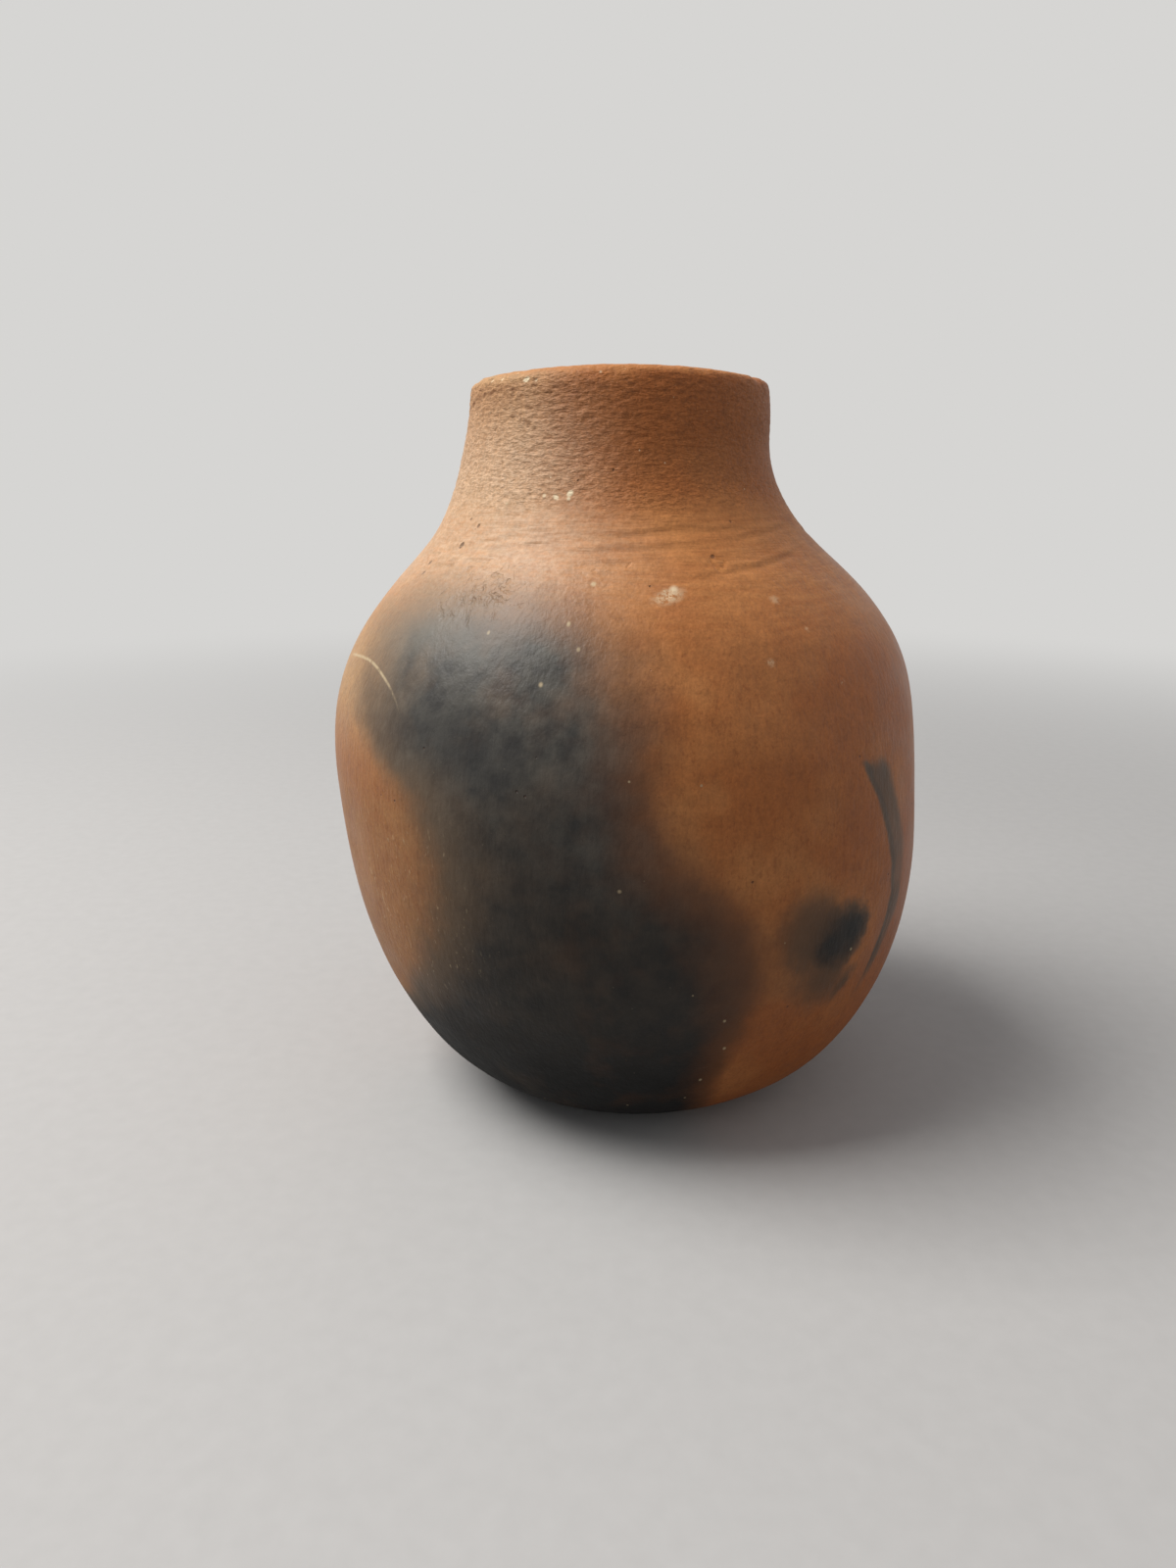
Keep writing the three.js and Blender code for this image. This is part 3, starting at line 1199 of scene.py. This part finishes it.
@dataclass(frozen=True)
class Soot:
    """The smoke's colours: brown where it was thin and grey where it was thick. Painted shade
    darkens the thick soot towards the bottom, down to black, and a painted sheen lightens it at the
    upper left.
    """

    smoke: Smoke = Smoke()
    high: tuple[float, ...] = paint(56, 54, 52)
    high_fleck: tuple[float, ...] = paint(92, 88, 81)
    # Soot colour low down, darker than the high one as painted shade.
    deep: tuple[float, ...] = paint(31, 28, 25)
    deep_fleck: tuple[float, ...] = paint(55, 48, 41)
    # Black of the painted shade at the bottom, also used in the small cloud at the right.
    black: tuple[float, ...] = paint(13, 12, 11)
    # Pale grey of a painted sheen on the upper soot.
    sheen_grey: tuple[float, ...] = paint(126, 121, 110)
    core: tuple[float, ...] = paint(46, 47, 48)
    core_place: Patch = Patch(-29.0, 84.5, 16.0, 10.0, 0.7, -25, 0.05)
    singed_clay: tuple[float, ...] = paint(130, 81, 46)
    ashy_clay: tuple[float, ...] = paint(116, 92, 68)

    def thick(self, ground: Ground) -> bpy.types.NodeSocket:
        """Colours the soot where it is thick, darker towards the bottom as painted shade.

        Args:
            ground: Places and patterns.

        Returns:
            The colour.
        """
        tree, azimuth, height = ground.tree, ground.azimuth, ground.height
        flecks = tree.noise(ground.place, 6.5, 3.0, 0.65) * 0.6 + ground.fleck * 0.4
        cloudy = tree.step(flecks, 0.3, 0.72)
        high = tree.mix(cloudy, self.high, self.high_fleck)
        deep = tree.mix(cloudy, self.deep, self.deep_fleck)
        # Painted shade: the thick soot turns black towards the bottom, and it is black in the small
        # cloud at the right.
        blackest = tree.step(height, 44.0, 18.0) | tree.step(azimuth, 28.0, 36.0)
        deep = tree.mix(blackest, deep, self.black)
        # Painted sheen: the thick soot turns paler grey high up, most at the upper left.
        painted_sheen = tree.step(height - (azimuth + 38) * 0.14, 95.0, 108.0)
        painted_sheen = painted_sheen * (0.65 + tree.step(azimuth, -30.0, -55.0) * 0.35)
        high = tree.mix(painted_sheen * 0.75, high, self.sheen_grey)
        core = self.core_place.mask(tree, ground.chart) * (0.4 + cloudy * 0.6)
        high = tree.mix(core, high, self.core)
        # Painted shade: the thick soot darkens from the high colour to the low one further down.
        return tree.mix(tree.step(height + (ground.tone - 0.5) * 40, 94.0, 44.0), high, deep)

    def lay(self, ground: Ground, clay: bpy.types.NodeSocket) -> bpy.types.NodeSocket:
        """Lays the smoke over the clay.

        Args:
            ground: Places and patterns.
            clay: The bare clay's colour.

        Returns:
            The colour.
        """
        tree, azimuth, height = ground.tree, ground.azimuth, ground.height
        broken = 0.9 + (tree.noise(ground.place, 11.0, 3.0, 0.6) - 0.5) * 0.4
        density = self.smoke.density(ground) * broken
        ashy = tree.step(azimuth, 0.0, -25.0) | (tree.step(azimuth, 23.0, 30.0) * 0.6)
        singed = tree.mix(ashy, self.singed_clay, self.ashy_clay)
        ring = tree.step(density, 0.0, 0.5) * (1 - tree.step(height, 82.0, 98.0) * 0.75)
        return tree.mix((density - 0.1) * 1.25, tree.mix(ring, clay, singed), self.thick(ground))


@dataclass(frozen=True)
class BareClay:
    """The clay's colours, burnished below the neck and wiped above it, with a painted sheen at the
    upper left and painted shade and highlight on the relief.
    """

    clay: tuple[float, ...] = paint(173, 104, 54)
    pale_clay: tuple[float, ...] = paint(195, 130, 76)
    red_clay: tuple[float, ...] = paint(155, 88, 44)
    brown_clay: tuple[float, ...] = paint(142, 83, 42)
    rust: tuple[float, ...] = paint(128, 66, 32)
    # Pale dust and painted sheen on the neck and shoulder at the left.
    dusty_clay: tuple[float, ...] = paint(213, 180, 148)
    # Pale tan at the upper left, partly painted sheen.
    tan_clay: tuple[float, ...] = paint(194, 162, 118)
    tarry_clay: tuple[float, ...] = paint(156, 114, 72)
    inner_clay: tuple[float, ...] = paint(120, 80, 56)
    inner_floor: tuple[float, ...] = paint(70, 54, 44)
    dull: Patch = Patch(21.0, 101.5, 24.0, 9.5, 0.55, -4, 0.1)
    warm: Patch = Patch(20.0, 88.0, 22.0, 7.0, 0.35, 0, 0.1)
    right_side: Band = Band(5.0, 75.0, 130.0, 178.0)
    left_side: Band = Band(-130.0, -85.0, -46.0, -12.0)
    browned: Band = Band(122.5, 133.5, 146.5, 149.6)
    smeared: Band = Band(96.0, 113.0, 121.0, 130.0)
    dust_and_sheen_band: Band = Band(102.0, 116.0, 130.0, 153.0)

    def wall(self, ground: Ground, left: Value) -> bpy.types.NodeSocket:
        """Colours the burnished wall, with a pale tan at the upper left that is partly painted
        sheen.

        Args:
            ground: Places and patterns.
            left: Where the left side is.

        Returns:
            The colour.
        """
        tree, azimuth, height = ground.tree, ground.azimuth, ground.height
        clay = tree.mix(tree.step(ground.tone, 0.42, 0.68), self.clay, self.pale_clay)
        reddish = tree.step(tree.noise(ground.place, 31.0, 2.0), 0.45, 0.7)
        clay = tree.mix(reddish * 0.55, clay, self.red_clay)
        clay = tree.mix(self.right_side.mask(tree, azimuth) * 0.6, clay, self.red_clay)
        clay = tree.mix(tree.step(height, 85.0, 15.0) * 0.5, clay, self.red_clay)
        clay = tree.mix(self.dull.mask(tree, ground.chart), clay, self.brown_clay)
        clay = tree.mix(self.warm.mask(tree, ground.chart), clay, self.pale_clay)
        tarry = left * tree.step(height, 92.0, 66.0)
        tarry = tarry * (0.45 + tree.step(ground.fleck, 0.3, 0.7) * 0.3)
        clay = tree.mix(tarry, clay, self.tarry_clay)
        # Pale tan at the upper left, partly painted sheen.
        return tree.mix(left * tree.step(height, 74.0, 92.0) * 0.65, clay, self.tan_clay)

    def wiping(
        self, ground: Ground, clay: bpy.types.NodeSocket, left: Value,
    ) -> bpy.types.NodeSocket:
        """Colours the wiped neck and the smears below it, with pale dust and a painted sheen at the
        upper left.

        Args:
            ground: Places and patterns.
            clay: The wall's colour.
            left: Where the left side is.

        Returns:
            The colour.
        """
        tree, azimuth, height = ground.tree, ground.azimuth, ground.height
        uneven = 0.45 + 0.55 * tree.step(ground.tone, 0.3, 0.6)
        brown = self.browned.mask(tree, height) * uneven
        clay = tree.mix(brown * (1 - left * 0.2) * 0.62, clay, self.brown_clay)
        wiped = 0.35 + tree.step(ground.lines, 0.3, 0.7) * 0.5
        clay = tree.mix(self.smeared.mask(tree, height) * wiped, clay, self.pale_clay)
        # Pale dust and painted sheen on the left of the neck and shoulder.
        reach = tree.step(height, 130.0, 118.0) * 12
        dust_and_sheen = tree.step(azimuth - reach, 6.0, -46.0) * tree.step(azimuth, -150.0, -90.0)
        dust_and_sheen = dust_and_sheen * self.dust_and_sheen_band.mask(tree, height)
        dust_and_sheen = dust_and_sheen * (0.4 + tree.step(ground.drawn, 0.3, 0.7) * 0.4)
        return tree.mix(dust_and_sheen, clay, self.dusty_clay)

    def outside(self, ground: Ground) -> bpy.types.NodeSocket:
        """Colours the outer face, where no smoke lay on it, with painted shade in the hollows of
        the relief and wear and painted highlight on its peaks.

        Args:
            ground: Places and patterns.

        Returns:
            The colour.
        """
        tree = ground.tree
        left = self.left_side.mask(tree, ground.azimuth)
        clay = self.wall(ground, left)
        freckles = tree.noise(tree.stretch(ground.place, 0.9, 1.7), 1.0, 3.0, 0.65)
        freckles = tree.step(freckles, 0.54, 0.66) * (1 - ground.neck) * 0.3
        clay = self.wiping(ground, tree.mix(freckles, clay, self.rust), left)
        # Painted shade and highlight: the colour darkens in the hollows and lightens on the peaks
        # of the grain, flecks, rubbing and drag marks that the relief raises, the peaks partly from
        # wear.
        gritty = tree.step(ground.grain, 0.25, 0.75) * (0.2 + ground.dragged * 0.18)
        painted_relief_shade = tree.step(ground.fleck, 0.2, 0.8) * 0.2 + gritty
        painted_relief_shade = painted_relief_shade + ground.rubbed * 0.24 + (ground.drawn - 0.5) * ground.dragged * 0.35 + 0.66
        grey = tree.node("ShaderNodeCombineXYZ", sockets={0: painted_relief_shade, 1: painted_relief_shade, 2: painted_relief_shade})
        return tree.mix(1.0, clay, grey.outputs[0], "MULTIPLY")

    def inside(self, ground: Ground) -> bpy.types.NodeSocket:
        """Colours the inner face, darker towards the floor.

        Args:
            ground: Places and patterns.

        Returns:
            The colour.
        """
        tree = ground.tree
        deep = tree.step(ground.height + (ground.tone - 0.5) * 60, 130.0, 60.0)
        inner = tree.mix(deep, self.inner_clay, self.inner_floor)
        return tree.mix(tree.step(ground.fleck, 0.3, 0.75) * 0.3, inner, self.brown_clay)


@dataclass(frozen=True)
class Depths:
    """How deep each part of the fine texture is, in millimetres."""

    wiped: float = 0.22
    dragged: float = 0.43
    rubbed: float = 0.1
    leather: float = 0.07
    fleck: float = 0.06
    crumple: float = 0.08
    crease: float = 0.012
    fold: float = 0.22
    sand: float = 0.03
    neck_sand: float = 0.07
    dust: float = 0.012
    hole: float = 0.22
    lime: float = 0.02


@dataclass(frozen=True)
class Shine:
    """Roughness of each part of the skin, and its gloss."""

    wall: float = 0.47
    polished: float = 0.07
    uneven: float = 0.14
    foot: float = 0.35
    neck: float = 0.55
    inside: float = 0.85
    coat: float = 0.4
    specular: float = 0.25


@dataclass(frozen=True)
class FiredClay:
    """Low-fired red clay with fire clouds, burnished below the neck and wiped above it."""

    bare: BareClay = BareClay()
    soot: Soot = Soot()
    scratches: Scratches = Scratches()
    chalk: Chalk = Chalk()
    depths: Depths = Depths()
    shine: Shine = Shine()
    lime: tuple[float, ...] = paint(212, 190, 152)
    # Pale of the chips and the chalk, and of the painted glints.
    pale_chip_and_glint: tuple[float, ...] = paint(252, 232, 194)
    # Painted shade in the pinholes and pits.
    pinhole_shade: tuple[float, ...] = paint(70, 46, 34)
    # Painted shade in the creases of the shoulder.
    fold: tuple[float, ...] = paint(112, 82, 58)
    crumbs: Sprinkle = Sprinkle(5.5, 0.055, 0, 0.86)
    pinholes: Sprinkle = Sprinkle(3.4, 0.09, 1, 0.8)
    glints: Sprinkle = Sprinkle(2.3, 0.085, 2, 0.8)
    specks: tuple[Speck, ...] = (
        # The first speck is a painted glint on the neck.
        Speck(-41.5, 126.0, 0.4, 0.7),
        Speck(-9.5, 112.8, 0.55, 0.8),
        Speck(-13.4, 106.5, 0.6, 0.7),
        Speck(-10.8, 102.6, 0.55, 0.5),
        Speck(-29.8, 104.5, 0.5, 0.5),
        Speck(-16.8, 96.9, 0.6, 0.65),
        Speck(-2.7, 62.2, 0.5, 0.45),
        Speck(-1.3, 81.6, 0.3, 0.6),
        Speck(16.7, 34.9, 0.45, 0.6),
        Speck(17.9, 28.0, 0.5, 0.7),
        Speck(14.8, 19.6, 0.5, 0.7),
        Speck(42.9, 44.4, 0.45, 0.7),
    )
    chips_and_glints: tuple[Patch, ...] = (
        Patch(-40.5, 148.1, 1.9, 0.6, 1.0, 6, 0.5),
        Patch(-36.3, 147.9, 0.8, 0.4, 0.6, 0, 0.3),
        Patch(-52.9, 148.4, 0.8, 0.35, 0.7, 0, 0.3),
        Patch(-59.3, 148.3, 0.7, 0.4, 0.8, 0, 0.3),
        Patch(-12.0, 149.0, 0.7, 0.3, 0.5, 0, 0.3),
        # The four below are painted glints on the neck.
        Patch(-20.2, 127.9, 1.5, 0.75, 1.0, 12, 0.35),
        Patch(-20.4, 127.0, 0.9, 0.45, 0.8, 0, 0.3),
        Patch(-24.6, 127.2, 1.5, 0.6, 0.9, -10, 0.3),
        Patch(-28.6, 127.5, 0.9, 0.5, 0.6, 0, 0.3),
    )
    wrinkles: tuple[Patch, ...] = (
        Patch(-35.9, 111.5, 1.8, 0.55, 0.8, -44, 0.1),
        Patch(-34.5, 113.6, 3.6, 0.5, 0.7, 2, 0.1),
        Patch(-31.3, 110.1, 3.9, 0.65, 1.0, -14, 0.2),
        Patch(-30.3, 111.5, 3.7, 0.55, 0.8, -13, 0.1),
        Patch(-37.2, 109.3, 1.8, 0.55, 0.8, -36, 0.1),
        Patch(-35.4, 109.5, 1.6, 0.5, 0.7, -29, 0.1),
        Patch(-33.4, 109.0, 1.8, 0.5, 0.6, -50, 0.1),
        Patch(-30.4, 112.8, 1.0, 0.55, 0.8, 0, 0.1),
        Patch(-38.6, 111.0, 2.2, 0.5, 0.6, -52, 0.1),
        Patch(-40.2, 109.6, 2.0, 0.5, 0.5, -60, 0.1),
        Patch(-45.0, 107.3, 3.4, 0.6, 0.8, -31, 0.1),
        Patch(-41.0, 106.8, 1.4, 0.5, 0.7, -45, 0.1),
        Patch(-47.5, 110.2, 2.6, 0.5, 0.5, 38, 0.1),
        Patch(-53.3, 115.4, 2.6, 0.55, 0.8, 7, 0.1),
        Patch(-44.5, 114.3, 1.6, 0.55, 0.8, 16, 0.1),
        Patch(-41.7, 112.8, 1.5, 0.5, 0.6, 80, 0.1),
        Patch(-24.6, 109.1, 1.5, 0.65, 0.5, 0, 0.1),
        Patch(-30.2, 107.3, 1.3, 0.5, 0.5, -57, 0.1),
        Patch(-36.2, 106.3, 1.8, 0.5, 0.5, -62, 0.1),
        Patch(-9.7, 114.9, 1.3, 0.5, 0.5, 0, 0.1),
        Patch(-1.6, 115.9, 1.2, 0.5, 0.5, 30, 0.1),
    )
    pits: tuple[Patch, ...] = (
        Patch(-50.2, 121.8, 0.8, 0.5, 1.0, 10, 0.3),
        Patch(-53.6, 118.3, 1.0, 0.6, 1.0, 20, 0.3),
        Patch(-55.2, 122.9, 0.6, 0.4, 0.7, 0, 0.2),
        Patch(-63.4, 114.6, 0.9, 0.55, 1.0, 0, 0.3),
        Patch(-62.3, 112.8, 0.9, 0.5, 0.8, 20, 0.3),
        Patch(21.0, 117.0, 0.9, 0.5, 0.9, 0, 0.3),
        Patch(31.3, 122.8, 0.6, 0.4, 0.7, 0, 0.2),
    )
    burnished: tuple[Patch, ...] = (
        Patch(-42.0, 104.0, 34.0, 26.0, 0.08, -8, 0.15),
        Patch(130.0, 102.0, 36.0, 22.0, 0.08, 10, 0.1),
    )
    crumpled: Patch = Patch(-38.0, 111.5, 20.0, 8.0, 1.0, 0, 0.2)
    wiped: Band = Band(109.0, 114.0, 121.0, 128.0)

    def grits(self, ground: Ground) -> Value:
        """Draws the grits and crumbs of lime, single and sprinkled.

        Args:
            ground: Places and patterns.

        Returns:
            Their strength at each place.
        """
        shown = self.specks[0].mask(ground)
        for speck in self.specks[1:]:
            shown = shown.larger(speck.mask(ground))
        return shown | (self.crumbs.mask(ground) * 0.5)

    def folds(self, ground: Ground) -> Value:
        """Draws the short creases where the wet clay was pushed together on the shoulder.

        Args:
            ground: Places and patterns.

        Returns:
            Their strength at each place.
        """
        tree = ground.tree
        waver = (tree.noise(ground.place, 1.4) - 0.5) * 1.5
        sway = (tree.noise(ground.place, 1.1) - 0.5) * 1.3
        chart = tree.flat(ground.azimuth * ARC + waver, ground.height + sway)
        return draw_patches(tree, self.wrinkles, chart)

    def marked(
        self, ground: Ground, colour: bpy.types.NodeSocket, lime: Value, holes: Value, folds: Value,
    ) -> bpy.types.NodeSocket:
        """Adds grits, scratches, pinholes and creases with painted shade, the chips with painted
        glints, and the worn lip with a painted highlight.

        Args:
            ground: Places and patterns.
            colour: The colour under them.
            lime: Where grits and scratches lie.
            holes: Where pinholes lie.
            folds: Where the skin is creased.

        Returns:
            The colour.
        """
        tree = ground.tree
        colour = tree.mix(lime, colour, self.lime)
        # Painted shade in the pinholes and pits.
        colour = tree.mix(holes * 0.6, colour, self.pinhole_shade)
        # Painted shade in the creases.
        colour = tree.mix(folds * 0.13, colour, self.fold)
        # Wear and a painted highlight along the top of the lip.
        wear_and_highlight = tree.step(ground.height + (ground.fleck - 0.5) * 1.8, 148.6, 149.9)
        colour = tree.mix(wear_and_highlight * 0.7, colour, self.bare.pale_clay)
        # Painted glints on the neck; the chips are pale partly as painted highlight.
        glints = self.glints.mask(ground) * (ground.dragged * 0.5 + 0.05)
        chips_and_glints = draw_patches(tree, self.chips_and_glints, ground.chart).larger(glints)
        return tree.mix(chips_and_glints | self.chalk.mask(ground), colour, self.pale_chip_and_glint)

    def roughness(self, ground: Ground) -> Value:
        """Gives the burnished wall a low shine, and the wiped neck and the inside none.

        Args:
            ground: Places and patterns.

        Returns:
            The roughness.
        """
        tree, neck, outer, shine = ground.tree, ground.neck, ground.outer, self.shine
        polished = tree.step(tree.noise(ground.place, 8.0, 2.0), 0.3, 0.7)
        wall = shine.wall - polished * shine.polished + (ground.fleck - 0.5) * shine.uneven
        wall = wall + tree.step(ground.height, 42.0, 10.0) * shine.foot
        rough = wall * (1 - neck) + neck * shine.neck
        return rough * outer + (1 - outer) * shine.inside

    def relief(self, ground: Ground, lime: Value, holes: Value, folds: Value) -> Value:
        """Raises and sinks the fine texture.

        Args:
            ground: Places and patterns.
            lime: Where grits and scratches lie.
            holes: Where pinholes lie.
            folds: Where the skin is creased.

        Returns:
            The height of the surface, in millimetres.
        """
        tree, neck, dragged, depths = ground.tree, ground.neck, ground.dragged, self.depths
        wiping = ground.lines * self.wiped.mask(tree, ground.height) * depths.wiped
        wiping = wiping + ground.drawn * dragged * depths.dragged
        leather = tree.noise(ground.place, 1.5, 2.0, 0.6, 0.3) * depths.leather
        burnish = ground.rubbed * (1 - neck) * depths.rubbed + leather + ground.fleck * depths.fleck
        crumpled = self.crumpled.mask(tree, ground.chart) * depths.crumple + depths.crease
        creased = tree.step(ground.crease, 0.14, 0.0) * crumpled + folds * depths.fold
        sand = ground.grain * (depths.sand + dragged * depths.neck_sand)
        sand = sand + tree.noise(ground.place, 0.24, 1.0) * depths.dust
        return wiping + burnish - creased + sand - holes * depths.hole + lime * depths.lime

    def build(self, name: str) -> bpy.types.Material:
        """Makes the clay.

        Args:
            name: The material's name.

        Returns:
            The material.
        """
        tree = MaterialTree(name)
        ground = Ground.read(tree)
        lime = self.scratches.mask(ground) | self.grits(ground)
        holes = self.pinholes.mask(ground).larger(draw_patches(tree, self.pits, ground.chart))
        folds = self.folds(ground)
        smoked = self.soot.lay(ground, self.bare.outside(ground))
        outside = self.marked(ground, smoked, lime, holes, folds)
        sheen = draw_patches(tree, self.burnished, ground.chart) * (1 - ground.neck) * ground.outer
        relief = self.relief(ground, lime, holes, folds)
        lit = tree.node("ShaderNodeBump", None, {"Strength": 1.0, "Distance": MM, "Height": relief})
        inputs = tree.surface.inputs
        tree.link(tree.mix(ground.outer, self.bare.inside(ground), outside), inputs["Base Color"])
        tree.link(self.roughness(ground), inputs["Roughness"])
        tree.link(sheen, inputs["Coat Weight"])
        tree.link(lit.outputs[0], inputs["Normal"])
        inputs["Coat Roughness"].default_value = self.shine.coat
        inputs["Specular IOR Level"].default_value = self.shine.specular
        return tree.material


@dataclass
class Olla:
    """The pot, built from its courses."""

    body: ClayBody
    clay: FiredClay

    def build(self) -> dict[Course, bpy.types.Object]:
        """Builds, marks and dresses every course, attaches it to the root body and hides the part
        that it stands for.

        Returns:
            The courses.
        """
        clays = {finish: self.clay.build(finish.value) for finish in Finish}
        whole = self.body.copy_courses()
        self.body.add_rings(whole)
        self.body.refine(whole)
        self.body.shape(whole)
        courses = self.body.part(whole, clays)
        for course, piece in courses.items():
            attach(piece, "root")
            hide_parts(course.value)
            triangles = sum(len(face.vertices) - 2 for face in piece.data.polygons)
            LOG.info("%s: %d triangles, %s", piece.name, triangles, FINISH_OF[course].value)
        return courses


@dataclass(frozen=True)
class Lamp:
    """A square soft lamp that faces the pot, with its place and side in metres."""

    name: str
    place: tuple[float, float, float]
    side: float
    power: float
    tint: tuple[float, float, float]

    def hang(self) -> None:
        """Hangs the lamp and turns it to the middle of the pot."""
        bpy.ops.object.light_add(type="AREA", location=self.place)
        lamp = bpy.context.object
        lamp.name = self.name
        lamp.data.shape = "SQUARE"
        lamp.data.size = self.side
        lamp.data.energy = self.power
        lamp.data.color = self.tint
        away = lamp.location.copy()
        away.z -= MIDDLE
        lamp.rotation_euler = away.to_track_quat("Z", "Y").to_euler()


@dataclass
class Studio:
    """A pale floor that fades into a backdrop, a soft window light, and the camera."""

    reach: float = 1.6
    fade: tuple[float, float] = (0.2, 0.8)
    mottle_size: float = 0.004
    paper: tuple[float, ...] = paint(214, 213, 211)
    floor_dark: tuple[float, ...] = paint(192, 190, 188)
    floor_pale: tuple[float, ...] = paint(200, 198, 196)
    floor_unseen: tuple[float, ...] = paint(142, 141, 140)
    floor_roughness: float = 0.85
    floor_specular: float = 0.2
    lamps: tuple[Lamp, ...] = (
        Lamp("window", (-0.56, -0.08, 0.86), 0.62, 10.5, (1.0, 0.99, 0.97)),
        Lamp("bounce", (0.75, -0.2, 0.42), 1.0, 0.8, (1.0, 0.92, 0.84)),
    )
    room: tuple[float, ...] = paint(232, 234, 238)
    room_light: float = 0.32
    eye: tuple[float, float, float] = (-0.00828, -0.24362, 0.13195)
    look_down: float = 15.48
    lens: float = 26.0
    film_width: float = 36.0
    near: float = 0.01
    far: float = 20.0

    def floor(self) -> None:
        """Lays the floor, which fades into the backdrop's colour far from the pot."""
        bpy.ops.object.select_all(action="DESELECT")
        bpy.ops.mesh.primitive_plane_add(size=2 * self.reach)
        floor = bpy.context.object
        floor.name = "floor"
        tree = MaterialTree("pale_floor")
        source = tree.node("ShaderNodeTexCoord").outputs["Object"]
        mottle = tree.noise(source, self.mottle_size, 3.0)
        shown = tree.shown()
        pale = tree.mix(mottle, self.floor_dark, self.floor_pale)
        tree.link(tree.mix(shown, self.floor_unseen, pale), tree.surface.inputs["Base Color"])
        tree.surface.inputs["Roughness"].default_value = self.floor_roughness
        tree.surface.inputs["Specular IOR Level"].default_value = self.floor_specular
        paper = tree.node("ShaderNodeEmission", sockets={"Color": self.paper})
        seen = tree.step(tree.length(source), *self.fade) * shown
        sockets = {0: seen, 1: tree.surface.outputs[0], 2: paper.outputs[0]}
        faded = tree.node("ShaderNodeMixShader", sockets=sockets)
        tree.link(faded.outputs[0], tree.output.inputs["Surface"])
        floor.data.materials.append(tree.material)

    def light(self) -> None:
        """Hangs the lamps and lights the room."""
        for lamp in self.lamps:
            lamp.hang()
        world = bpy.data.worlds.new("room")
        bpy.context.scene.world = world
        world.use_nodes = True
        tree = ShaderTree(world.node_tree)
        colours = {"Color": self.room, "Strength": self.room_light}
        lit = tree.node("ShaderNodeBackground", sockets=colours)
        seen = tree.node("ShaderNodeBackground", sockets={"Color": self.paper})
        sockets = {0: tree.shown(), 1: lit.outputs[0], 2: seen.outputs[0]}
        both = tree.node("ShaderNodeMixShader", sockets=sockets)
        tree.node("ShaderNodeOutputWorld", sockets={"Surface": both.outputs[0]})

    def camera(self) -> None:
        """Sets up the camera where the photograph was taken from."""
        data = bpy.data.cameras.new("eye")
        data.lens = self.lens
        data.sensor_width = self.film_width
        data.sensor_fit = "AUTO"
        data.clip_start = self.near
        data.clip_end = self.far
        eye = bpy.data.objects.new("eye", data)
        bpy.context.scene.collection.objects.link(eye)
        eye.location = self.eye
        eye.rotation_euler = (math.radians(90 - self.look_down), 0.0, 0.0)
        bpy.context.scene.camera = eye

    def build(self) -> None:
        """Builds the whole studio."""
        self.floor()
        self.light()
        self.camera()
        bpy.context.scene.view_settings.view_transform = "Standard"


def main() -> None:
    """Builds the pot and the studio, and reports each piece."""
    logging.basicConfig(level=logging.INFO, format="%(name)s: %(message)s")
    Studio().build()
    Olla(ClayBody(), FiredClay()).build()
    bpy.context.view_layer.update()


if __name__ == "__main__":
    main()
